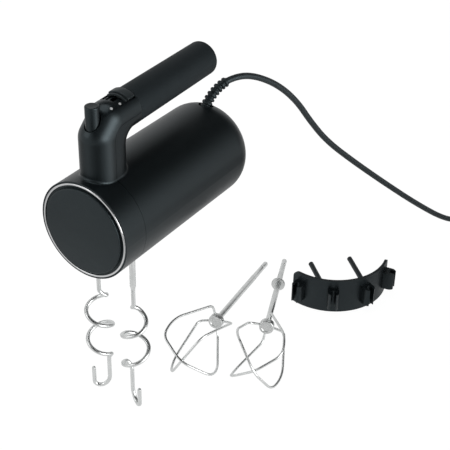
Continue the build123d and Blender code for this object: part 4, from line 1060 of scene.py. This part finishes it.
@dataclass
class Hook:
    """Spiral dough hook in its socket. The right one mirrors the left one."""

    side: Side
    spindle_x: float = 20.0
    spindle_y: float = 38.2
    wire_r: float = 1.95
    coil_r: float = 12.1
    centre: Pair = (-1.0, 0.0)
    pitch: float = 33.5
    coil_top: float = -100.0
    turns: int = 2
    facing: float = math.radians(33.5)
    shank_r: float = 2.8
    shank_top: float = 7.0
    shank_bottom: float = -72.0
    leg: Pair = (6.1, 2.5)
    end: Pair = (-7.5, -4.6)
    bend: float = 13.0
    bend_share: float = 0.7
    bottom: float = -207.8
    tip: float = -185.5
    tail: float = 4.0
    straight: float = 7.0
    entry_turn: float = 0.04
    entry_share: float = 0.62
    growth: Pair = (0.8, 0.2)
    leave_turn: float = 0.1
    leave_drop: float = 10.0
    catch: tuple[float, ...] = (-23.0, -22.4, -20.6, -20.0)
    catch_depth: float = 0.5

    def _spoke(self, turn: float) -> Vector:
        """Level direction from the spiral's axis."""
        a = self.facing + 2 * math.pi * turn
        return Vector((math.cos(a), math.sin(a), 0))

    def _spot(self, radius: float, turn: float, z: float) -> Vector:
        """Point on the spiral."""
        return Vector((*self.centre, z)) + self._spoke(turn) * radius

    def _way(self, turn: float, outward: float, fall: float) -> Vector:
        """Direction on the spiral, a quarter turn ahead of the spoke."""
        across = self._spoke(turn + 0.25) + self._spoke(turn) * outward
        return (across - Z_AXIS * fall).normalized()

    def stations(self) -> list[tuple[Vector, Vector]]:
        """Points and directions along a left hook's wire.

        Returns:
            The stations, in millimetres about the spindle's axis.
        """
        fall = self.pitch / (2 * math.pi * self.coil_r)
        down = -Z_AXIS
        found = [(Z_AXIS * (self.shank_bottom - self.tail), down)]
        found.append((Z_AXIS * (self.coil_top + self.straight), down))
        entry = self._spot(self.coil_r * self.entry_share, self.entry_turn, self.coil_top - 1)
        found.append((entry, self._way(self.entry_turn, 0.25, 0.35)))
        for k in range(1, 4 * self.turns):
            grown = min(1.0, self.growth[0] + self.growth[1] * (k - 1))
            spot = self._spot(self.coil_r * grown, k / 4, self.coil_top - self.pitch * k / 4)
            found.append((spot, self._way(k / 4, 0.15 if k == 1 else 0.0, fall)))
        last = self.turns - self.leave_turn
        end = self.coil_top - self.pitch * last
        found.append((self._spot(self.coil_r, last, end), self._way(last, -0.1, fall)))
        leg = Vector((*self.leg, 0))
        tip = Vector((*self.end, 0))
        across = (tip - leg).normalized()
        width = (tip - leg).length
        low = Z_AXIS * self.bottom
        rest = width * (1 - self.bend_share)
        found.append((leg + Z_AXIS * (end - self.leave_drop), down))
        found.append((leg + low - down * self.bend, down))
        found.append((leg + low + across * (width * self.bend_share), across))
        found.append((tip + low - down * rest, -down))
        found.append((tip + Z_AXIS * (self.tip - self.wire_r), -down))
        return found

    def build(self, shop: Workshop) -> None:
        """Build and dress the hook.

        Args:
            shop: Workshop that ties it to the frame.
        """
        name = self.side.name.lower()
        x = self.side.value * self.spindle_x
        line = []
        for spot in flowing_line(self.stations(), 14):
            line.append(at(x - self.side.value * spot.x, self.spindle_y + spot.y, spot.z))
        hook = bmesh.new()
        sweep_tube(hook, line, lambda k: self.wire_r * MM, 20)
        place = frame_of(at(x, self.spindle_y, 0), Z_AXIS, X_AXIS)
        top, low, r = self.shank_top, self.shank_bottom, self.shank_r
        neck = r - self.catch_depth
        profile = [(0, low - 4.2), (self.wire_r, low - 4.2), (self.wire_r + 0.05, low - 3.0)]
        profile += [(r - 0.25, low - 0.6), (r, low)]
        profile += list(zip((r, neck, neck, r), self.catch))
        profile += [(r, top - 1.2), (r - 0.35, top - 0.4), (r - 1.0, top), (0, top)]
        turn_profile(hook, place, profile, 40)
        body = Body["HOOK_" + self.side.name]
        shop.piece("spiral_hook_" + name, hook, WIRE, body, ["dough_hook_" + name], 30.0)


@dataclass
class Beater:
    """Wire beater lying on the table."""

    side: Side
    hub: Triple
    heading: float
    rise: float
    roll: float
    twist: int
    collar: bool = False
    shaft: float = 142.0
    shaft_r: float = 3.0
    shank_r: float = 2.8
    shank: float = 36.0
    hub_r: float = 7.6
    hub_half: float = 4.0
    wire_r: float = 1.25
    apex: float = 88.2
    under: float = 4.25
    collar_r: float = 7.4
    collar_spot: float = 17.0
    collar_width: float = 2.6
    wire_root: float = 2.0
    bends: tuple[Triple, ...] = ((19.0, 0.0, 3.0), (35.6, 0.63, 55.0), (29.2, 0.82, 75.0))
    bend_rounds: tuple[float, ...] = (7.0, 45.0, 14.0)
    apex_round: float = 24.0
    catch: tuple[float, ...] = (11.0, 11.6, 13.4, 14.0)
    catch_depth: float = 0.55

    def place(self) -> Matrix:
        """Place of the hub, with the axis towards the apex as Z.

        Returns:
            The place as a matrix, in metres.
        """
        flat = math.cos(self.rise)
        axis = Vector((flat * math.cos(self.heading), flat * math.sin(self.heading), math.sin(self.rise)))
        level = Z_AXIS.cross(axis).normalized()
        upward = axis.cross(level)
        return frame_of(at(*self.hub), axis, level * math.cos(self.roll) + upward * math.sin(self.roll))

    def loop(self, turn: float, apex: float) -> list[Vector]:
        """Line of one wire loop.

        Args:
            turn: Angle of the loop about the axis.
            apex: Height of its top corner.

        Returns:
            Points in millimetres about the hub.
        """
        half = [(self.hub_r - self.wire_root, 0.0, 0.0), *self.bends]
        rows = []
        for start in (0.0, math.pi):
            row = []
            for radius, angle, along in half:
                a = self.twist * angle + turn + start
                row.append(Vector((radius * math.cos(a), radius * math.sin(a), along)))
            rows.append(row)
        corners = rows[0] + [Z_AXIS * apex] + rows[1][::-1]
        return bent_line(corners, [*self.bend_rounds, self.apex_round, *self.bend_rounds[::-1]], 0.09)

    def build(self, shop: Workshop) -> None:
        """Build and dress the beater.

        Args:
            shop: Workshop that ties it to the frame.
        """
        name = self.side.name.lower()
        body = Body["BEATER_" + self.side.name]
        place = self.place()
        node = "beater_" + name
        wires = bmesh.new()
        for turn, apex in ((0.0, self.apex), (math.pi / 2, self.apex - self.under)):
            line = [place @ (spot * MM) for spot in self.loop(turn, apex)]
            sweep_tube(wires, line, lambda k: self.wire_r * MM, 16)
        shop.piece("beater_loops_" + name, wires, WIRE, body, [node + "_wires"], 30.0)
        boss = bmesh.new()
        r, h = self.hub_r, self.hub_half
        profile = rounded(
            [(0, -h), (r - 2.2, -h), (r - 2.2, -h + 1.0), (r, -h + 1.0), (r, h), (r - 2.6, h),
             (r - 3.0, h - 0.4), (0, h - 0.4)], {3: 0.5, 4: 0.9}, 4)
        turn_profile(boss, place, profile, 56)
        shop.piece("beater_boss_" + name, boss, HUB, body, [node + "_hub"])
        self._shaft(shop, place, body, name)
        if self.collar:
            self._collar(shop, place, body, name)

    def _shaft(self, shop: Workshop, place: Matrix, body: Body, name: str) -> None:
        """Turn the shaft with its thinner shank and catch groove.

        Args:
            shop: Workshop that ties it to the frame.
            place: Place of the hub.
            body: Body that it rides on.
            name: Side in small letters.
        """
        end, step = -self.shaft, -self.shaft + self.shank
        r, s = self.shank_r, self.shaft_r
        shaft = bmesh.new()
        neck = r - self.catch_depth
        profile = [(0, end), (r - 0.9, end), (r - 0.3, end + 0.5), (r, end + 1.3)]
        profile += [(radius, end + along) for radius, along in zip((r, neck, neck, r), self.catch)]
        profile += [(r, step - 0.5), (s, step), (s, -self.hub_half), (0, -self.hub_half)]
        turn_profile(shaft, place, profile, 40)
        shop.piece(
            "beater_stem_" + name, shaft, WIRE, body, ["beater_" + name + "_shaft"], 30.0)

    def _collar(self, shop: Workshop, place: Matrix, body: Body, name: str) -> None:
        """Turn the collar that keys this beater to its own socket.

        Args:
            shop: Workshop that ties it to the frame.
            place: Place of the hub.
            body: Body that it rides on.
            name: Side in small letters.
        """
        low = -self.shaft + self.shank + self.collar_spot
        high = low + self.collar_width
        ring = bmesh.new()
        inner = self.shaft_r + 0.05
        profile = rounded(
            [(inner, low), (self.collar_r, low), (self.collar_r, high), (inner, high)], {1: 0.5, 2: 0.5}, 4)
        turn_profile(ring, place, profile, 56)
        shop.piece("beater_ring_" + name, ring, HUB, body, ["beater_" + name + "_collar"])


@dataclass
class Lead:
    """Strain relief, and the cord with its coil and tie."""

    base: Triple = (0.0, 177.0, 40.5)
    heading: float = math.radians(68.8)
    lean: Pair = (math.radians(68.0), math.radians(15.0))
    boot: float = 34.0
    boot_r: float = 5.2
    boot_taper: float = 0.05
    boot_root: tuple[Pair, ...] = ((8.0, 6.4), (5.0, 6.4), (2.5, 6.0), (0.2, 5.8))
    groove: float = 1.5
    ribs: int = 8
    rib_share: float = 0.78
    rib_steps: int = 14
    cord_r: float = 3.1
    coil_r: float = 34.0
    coil_step: float = 6.9
    coil_rise: float = 6.8
    draw_in: float = 1.2
    layer_turns: float = 2.25
    climb_turns: float = 0.5
    leave_turns: float = 0.25
    coil_exit: float = 10.0
    per_turn: int = 16
    tie_thick: float = 1.0
    tie_width: float = 8.0
    tie_gap: Triple = (1.0, 0.6, 0.3)
    tie_round: Pair = (2.4, 1.4)
    tie_turn: float = math.radians(200)
    tie_tuck: float = 0.2
    plug_height: float = 14.0
    length: float = 1.621
    route: tuple[Triple, ...] = (
        (0.00888, 0.08132, -0.03065), (0.01308, 0.09214, -0.02845), (0.02082, 0.11209, -0.03425),
        (0.03058, 0.13726, -0.05095), (0.03926, 0.15964, -0.07485), (0.04649, 0.17829, -0.10435),
        (0.05481, 0.19973, -0.13335), (0.06747, 0.23236, -0.16635), (0.08627, 0.28084, -0.21235),
        (0.10580, 0.33119, -0.25835), (0.12388, 0.37780, -0.29715), (0.13545, 0.40764, -0.31078),
        (0.14775, 0.43934, -0.31078))
    coil_centre: Triple = (0.188925, 0.430014, -0.310783)

    def _boot_spot(self, along: float) -> Vector:
        """Point on the strain relief's bent centre line.

        Args:
            along: Distance from its base, in millimetres.

        Returns:
            The point in the frame's metres.
        """
        start, end = self.lean
        bend = self.boot / (start - end)
        rise = start - along / bend
        out = bend * (math.sin(start) - math.sin(rise))
        up = bend * (math.cos(rise) - math.cos(start))
        x, y, z = self.base
        return at(x + math.cos(self.heading) * out, y + math.sin(self.heading) * out, z + up)

    def _boot_radius(self, along: float) -> float:
        """Radius of the ribbed boot, in millimetres.

        Args:
            along: Distance from its base.

        Returns:
            The radius there.
        """
        pitch = self.boot / self.ribs
        index = min(self.ribs - 1, int(along / pitch))
        share = along / pitch - index
        full = self.boot_r - self.boot_taper * index
        swell = max(0.0, 1 - (2 * share / self.rib_share - 1) ** 2) if share < self.rib_share else 0.0
        return full - self.groove + self.groove * math.sqrt(swell)

    def build(self, shop: Workshop) -> None:
        """Build and dress the lead.

        Args:
            shop: Workshop that ties it to the frame.
        """
        self._strain_relief(shop)
        tie = self._tie(shop)
        self._cord(shop)

    def _strain_relief(self, shop: Workshop) -> None:
        """Sweep the ribbed boot with its root in the barrel.

        Args:
            shop: Workshop that ties it to the frame.
        """
        steps = self.ribs * self.rib_steps
        root = (self._boot_spot(0.0) - self._boot_spot(0.5)).normalized()
        line = [self._boot_spot(0.0) + root * depth * MM for depth, _ in self.boot_root]
        radii = [radius for _, radius in self.boot_root]
        for k in range(steps + 1):
            along = self.boot * k / steps
            line.append(self._boot_spot(along))
            radii.append(self._boot_radius(along))
        boot = bmesh.new()
        sweep_tube(boot, line, lambda k: radii[k] * MM, 36, False)
        shop.piece("ribbed_boot", boot, BOOT, Body.MIXER, ["strain_relief"], 60.0)

    def coil_points(self) -> list[Vector]:
        """Control points of the coil's two layers and of the way out to the plug.

        Returns:
            Points in the frame's metres.
        """
        centre = Vector(self.coil_centre)
        tight = math.cos(math.pi / self.per_turn)
        outer = self.coil_r + self.coil_step * self.layer_turns / 2
        inner = outer - self.coil_step * self.layer_turns
        total = 2 * self.layer_turns + self.climb_turns
        plug_rise = (TABLE - centre.z) / MM + self.plug_height / 2
        points = []
        for k in range(1, round((total + self.leave_turns) * self.per_turn) + 1):
            turn = k / self.per_turn
            up_turn = turn - self.layer_turns
            if up_turn <= 0:
                radius, rise = outer - self.coil_step * turn, 0.0
            elif up_turn <= self.climb_turns:
                share = up_turn / self.climb_turns
                radius = inner - self.draw_in * math.sin(share * math.pi)
                rise = self.coil_rise * ease(share)
            elif turn <= total:
                radius, rise = inner + self.coil_step * (up_turn - self.climb_turns), self.coil_rise
            else:
                share = (turn - total) / self.leave_turns
                radius = outer + self.coil_exit * share
                rise = self.coil_rise + (plug_rise - self.coil_rise) * ease(share)
            a = self.heading + math.pi / 2 - 2 * math.pi * turn
            reach = radius / tight
            points.append(centre + Vector((reach * math.cos(a), reach * math.sin(a), rise)) * MM)
        way = Vector((math.sin(self.heading), -math.cos(self.heading), 0))
        points.append(points[-1] + way * 2 * self.cord_r * MM)
        return points

    def _cord(self, shop: Workshop) -> None:
        """Args:
            shop: Workshop that ties it to the frame.
        """
        points = [Vector(p) for p in self.route] + self.coil_points()
        data = bpy.data.curves.new("mains_cord", "CURVE")
        data.dimensions = "3D"
        data.bevel_depth = self.cord_r * MM
        data.bevel_resolution = 6
        data.resolution_u = 8
        data.use_fill_caps = True
        spline = data.splines.new("NURBS")
        spline.points.add(len(points) - 1)
        for target, point in zip(spline.points, points):
            target.co = (*point, 1.0)
        spline.order_u = 3
        spline.use_endpoint_u = True
        data.materials.append(shop.finish(JACKET))
        cord = bpy.data.objects.new("mains_cord", data)
        bpy.context.scene.collection.objects.link(cord)
        shop.settle(cord, Body.MIXER, ["cord_free", "cord_coil"])

    def _tie(self, shop: Workshop) -> bpy.types.Object:
        """Bend the flat tie round the coil's turns.

        Args:
            shop: Workshop that ties it to the frame.

        Returns:
            The tie.
        """
        inside_gap, outside_gap, top_gap = self.tie_gap
        half_band = self.coil_step * self.layer_turns / 2 + self.cord_r
        outer = self.coil_r + half_band + outside_gap
        inner = self.coil_r - half_band - inside_gap
        t = self.tie_thick
        top = t + 2 * self.cord_r + self.coil_rise + top_gap
        outside = rounded(
            [(inner - t, 0), (outer + t, 0), (outer + t, top + t), (inner - t, top + t)],
            dict.fromkeys(range(4), self.tie_round[0]), 6)
        inside = rounded(
            [(inner, t - self.tie_tuck), (outer, t - self.tie_tuck), (outer, top), (inner, top)],
            dict.fromkeys(range(4), self.tie_round[1]), 6)
        aside = self.heading + self.tie_turn
        centre = Vector((self.coil_centre[0], self.coil_centre[1], TABLE))
        across = Vector((math.cos(aside), math.sin(aside), 0))
        along = Z_AXIS.cross(across) * (self.tie_width / 2)
        band = bmesh.new()
        rings = []
        for outline, end in ((outside, -1), (outside, 1), (inside, 1), (inside, -1)):
            ring = []
            for reach, height in outline:
                ring.append(band.verts.new(centre + (across * reach + along * end + Z_AXIS * height) * MM))
            rings.append(ring)
        for low, high in zip(rings, rings[1:] + rings[:1]):
            bridge(band, low, high)
        return shop.piece("coil_tie", band, CONTROL, Body.MIXER, ["cord_tie"])


@dataclass
class Studio:
    """White floor, soft light and the camera."""

    camera_spot: Triple = (0.552720, -0.737525, 0.460167)
    right: Triple = (0.82684635, 0.56215238, 0.01760159)
    up: Triple = (-0.32269088, 0.44853540, 0.83347861)
    back: Triple = (0.46064705, -0.69483862, 0.55227131)
    focal_px: float = 1175.146
    frame_px: float = 450.0
    sensor: float = 36.0
    floor_half: float = 4.0
    floor_gap: float = 0.0002
    floor_colour: Colour = (0.88, 0.885, 0.885)
    shadow_share: float = 0.15
    floor_level: float = 1.14
    mirror_level: float = 0.76
    # Painted light (positive strength) and painted shade (negative strength) on the floor: middle (x, y),
    # radius and strength. Only reflections show them.
    pools: tuple[Quad, ...] = (
        (0.52, 0.04, 0.30, 1.0), (1.0, 0.2, 0.55, 0.8), (2.0, 0.2, 1.25, 1.6), (0.18, -0.58, 0.42, -0.5),
        (0.5, -0.72, 0.45, -0.45), (-0.5, -0.28, 0.4, -0.42), (0.4, 0.5, 0.5, -0.5), (1.7, 2.4, 1.35, -0.65))
    # Share of a painted patch's radius that keeps its full strength.
    pool_core: float = 0.35
    # Painted reflections in the world, seen only by glossy rays: direction, limits of the facing cosine and
    # strength. The positive ones paint bright patches and the negative one paints a dark patch.
    boxes: tuple[tuple[Triple, Pair, float], ...] = (
        ((0.98, -0.05, 0.18), (0.86, 0.99), 4.2), ((0.85, -0.38, 0.36), (0.75, 0.97), 0.3),
        ((0.5, -0.85, 0.1), (0.80, 0.97), -0.65))
    room_fade: Quad = (0.28, 0.68, 1.0, 0.03)
    side_fade: Quad = (-0.3, 0.4, 0.65, 1.0)
    rear_fade: Quad = (0.66, 0.77, 1.0, 0.2)
    left_fade: Quad = (-0.2, 0.3, 1.0, 0.0)
    room_lean: float = 0.15
    room_least: float = 0.02
    aim: Triple = (0.05, 0.05, -0.15)

    def build(self) -> None:
        """Set up camera, floor, world and lamps."""
        self._camera()
        self._floor()
        self._world()
        self._lamp("overhead", (-0.35, -0.1, 1.9), (1.6, 1.6), 11.0)
        self._lamp("front_fill", (-1.2, -1.8, 0.9), (1.2, 1.2), 6.0)
        bpy.context.scene.view_settings.view_transform = "Standard"

    def _camera(self) -> None:
        """Stand the camera where the photograph was taken from."""
        data = bpy.data.cameras.new("camera")
        data.sensor_width = self.sensor
        data.lens = self.focal_px * self.sensor / self.frame_px
        camera = bpy.data.objects.new("camera", data)
        turn = Matrix((self.right, self.up, self.back)).transposed()
        camera.matrix_world = Matrix.Translation(self.camera_spot) @ turn.to_4x4()
        bpy.context.scene.collection.objects.link(camera)
        bpy.context.scene.camera = camera

    def _floor(self) -> None:
        """Lay the white floor, which keeps part of the shadows. In reflections it also shows painted patches
        of light and painted shade.
        """
        mesh = bmesh.new()
        h = self.floor_half
        outline = ((-h, -h), (h, -h), (h, h), (-h, h))
        mesh.faces.new([mesh.verts.new((x, y, TABLE - self.floor_gap)) for x, y in outline])
        data = bpy.data.meshes.new("floor")
        mesh.to_mesh(data)
        mesh.free()
        material = bpy.data.materials.new("white_floor")
        material.use_nodes = True
        desk = NodeDesk(material.node_tree)
        desk.tree.nodes.clear()
        path = desk.add("ShaderNodeLightPath")
        seen = desk.math("MAXIMUM", path.outputs["Is Camera Ray"], path.outputs["Is Glossy Ray"])
        seen = desk.math("MAXIMUM", seen, path.outputs["Is Transmission Ray"])
        share = desk.math("MULTIPLY", seen, 1.0 - self.shadow_share)
        matt = desk.add("ShaderNodeBsdfDiffuse", None, {"Color": rgba(self.floor_colour)})
        place = desk.place()
        mirrored_with_painted_patches = self.mirror_level
        # Painted light and painted shade: patches that brighten or darken the floor as reflections see it.
        for painted_patch in self.pools:
            mirrored_with_painted_patches = desk.math("ADD", mirrored_with_painted_patches, self._pool(desk, place, painted_patch))
        mirrored_with_painted_patches = desk.math("MAXIMUM", mirrored_with_painted_patches, 0.0)
        level = desk.add("ShaderNodeMix", {"data_type": "FLOAT"}, {
            0: path.outputs["Is Camera Ray"], 2: mirrored_with_painted_patches, 3: self.floor_level}).outputs[0]
        glow = desk.add("ShaderNodeEmission", None, {"Color": (1.0, 1.0, 1.0, 1.0), "Strength": level})
        mixed = desk.add("ShaderNodeMixShader", None, {0: share, 1: matt.outputs[0], 2: glow.outputs[0]})
        desk.add("ShaderNodeOutputMaterial", None, {"Surface": mixed.outputs[0]})
        data.materials.append(material)
        floor = bpy.data.objects.new("floor", data)
        bpy.context.scene.collection.objects.link(floor)

    def _pool(self, desk: NodeDesk, place: Socket, painted_patch: Quad) -> Socket:
        """Round painted patch on the floor, seen only in reflections: painted light where its strength is
        positive, painted shade where it is negative.

        Args:
            desk: Desk on the floor's tree.
            place: Place on the floor.
            painted_patch: Middle (x, y), radius and strength of the painted patch.

        Returns:
            The patch's strength, fading to nothing at its radius.
        """
        x, y, radius, strength = painted_patch
        away = desk.vector("DISTANCE", place, (x, y, TABLE)).outputs["Value"]
        return desk.span(away, (radius * self.pool_core, radius), strength, 0.0)

    def _world(self) -> None:
        """Light the room: bright low down, dim overhead, and white to the camera. Glossy rays also see
        painted reflections, a bright patch to the right, a fainter one and a dark patch, which light
        nothing.
        """
        world = bpy.data.worlds.new("studio")
        world.use_nodes = True
        bpy.context.scene.world = world
        desk = NodeDesk(world.node_tree)
        desk.tree.nodes.clear()
        way = desk.add("ShaderNodeTexCoord").outputs["Generated"]
        part = desk.add("ShaderNodeSeparateXYZ", None, {0: way})
        lean = desk.math("MULTIPLY", part.outputs["X"], self.room_lean)
        room = desk.fade(desk.math("ADD", part.outputs["Z"], lean), self.room_fade)
        side = desk.fade(part.outputs["X"], self.side_fade)
        rear = desk.fade(part.outputs["Y"], self.rear_fade)
        rear = desk.math("MAXIMUM", rear, desk.fade(part.outputs["X"], self.left_fade))
        room = desk.math("MULTIPLY", room, desk.math("MULTIPLY", side, rear))
        path = desk.add("ShaderNodeLightPath").outputs
        # Painted reflections: patches of the world that only glossy rays see.
        for towards, limits, strength in self.boxes:
            facing = desk.vector("DOT_PRODUCT", way, towards).outputs["Value"]
            painted_reflection = desk.span(facing, limits, 0.0, strength)
            room = desk.math("ADD", room, desk.math("MULTIPLY", painted_reflection, path["Is Glossy Ray"]))
        room = desk.math("MAXIMUM", room, self.room_least)
        level = desk.mix(path["Is Camera Ray"], room, (1.0, 1.0, 1.0, 1.0))
        glow = desk.add("ShaderNodeBackground", None, {"Color": level, "Strength": 1.0})
        desk.add("ShaderNodeOutputWorld", None, {"Surface": glow.outputs[0]})

    def _lamp(self, name: str, spot: Triple, size: Pair, power: float) -> None:
        """Hang a soft box that looks at the mixer.

        Args:
            name: Name of the lamp.
            spot: Its place.
            size: Its width and height.
            power: Its watts.
        """
        data = bpy.data.lights.new(name, "AREA")
        data.shape = "RECTANGLE"
        data.size, data.size_y = size
        data.energy = power
        lamp = bpy.data.objects.new(name, data)
        aim = Vector(self.aim) - Vector(spot)
        lamp.location = spot
        lamp.rotation_euler = aim.to_track_quat("-Z", "Y").to_euler()
        bpy.context.scene.collection.objects.link(lamp)


def main() -> None:
    """Dress the frame, build the finer pieces and set up the studio."""
    logging.basicConfig(level=logging.INFO, format="%(message)s")
    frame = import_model()
    shop = Workshop(frame)
    for kind, nodes in NODE_FINISHES.items():
        for node in nodes:
            shop.dress(node, kind)
    Studio().build()
    Lead().build(shop)
    FrontFace().build(shop)
    Grip().build(shop)
    Controls().build(shop)
    for side in Side:
        Hook(side).build(shop)
    for beater in (
            Beater(Side.LEFT, (17.2, 176.5, -201.0), heading=-1.38, rise=0.13, roll=1.79, twist=1),
            Beater(
                Side.RIGHT, (64.8, 198.9, -200.5), heading=-1.15, rise=0.11, roll=2.97, twist=-1,
                collar=True)):
        beater.build(shop)


if __name__ == "__main__":
    main()
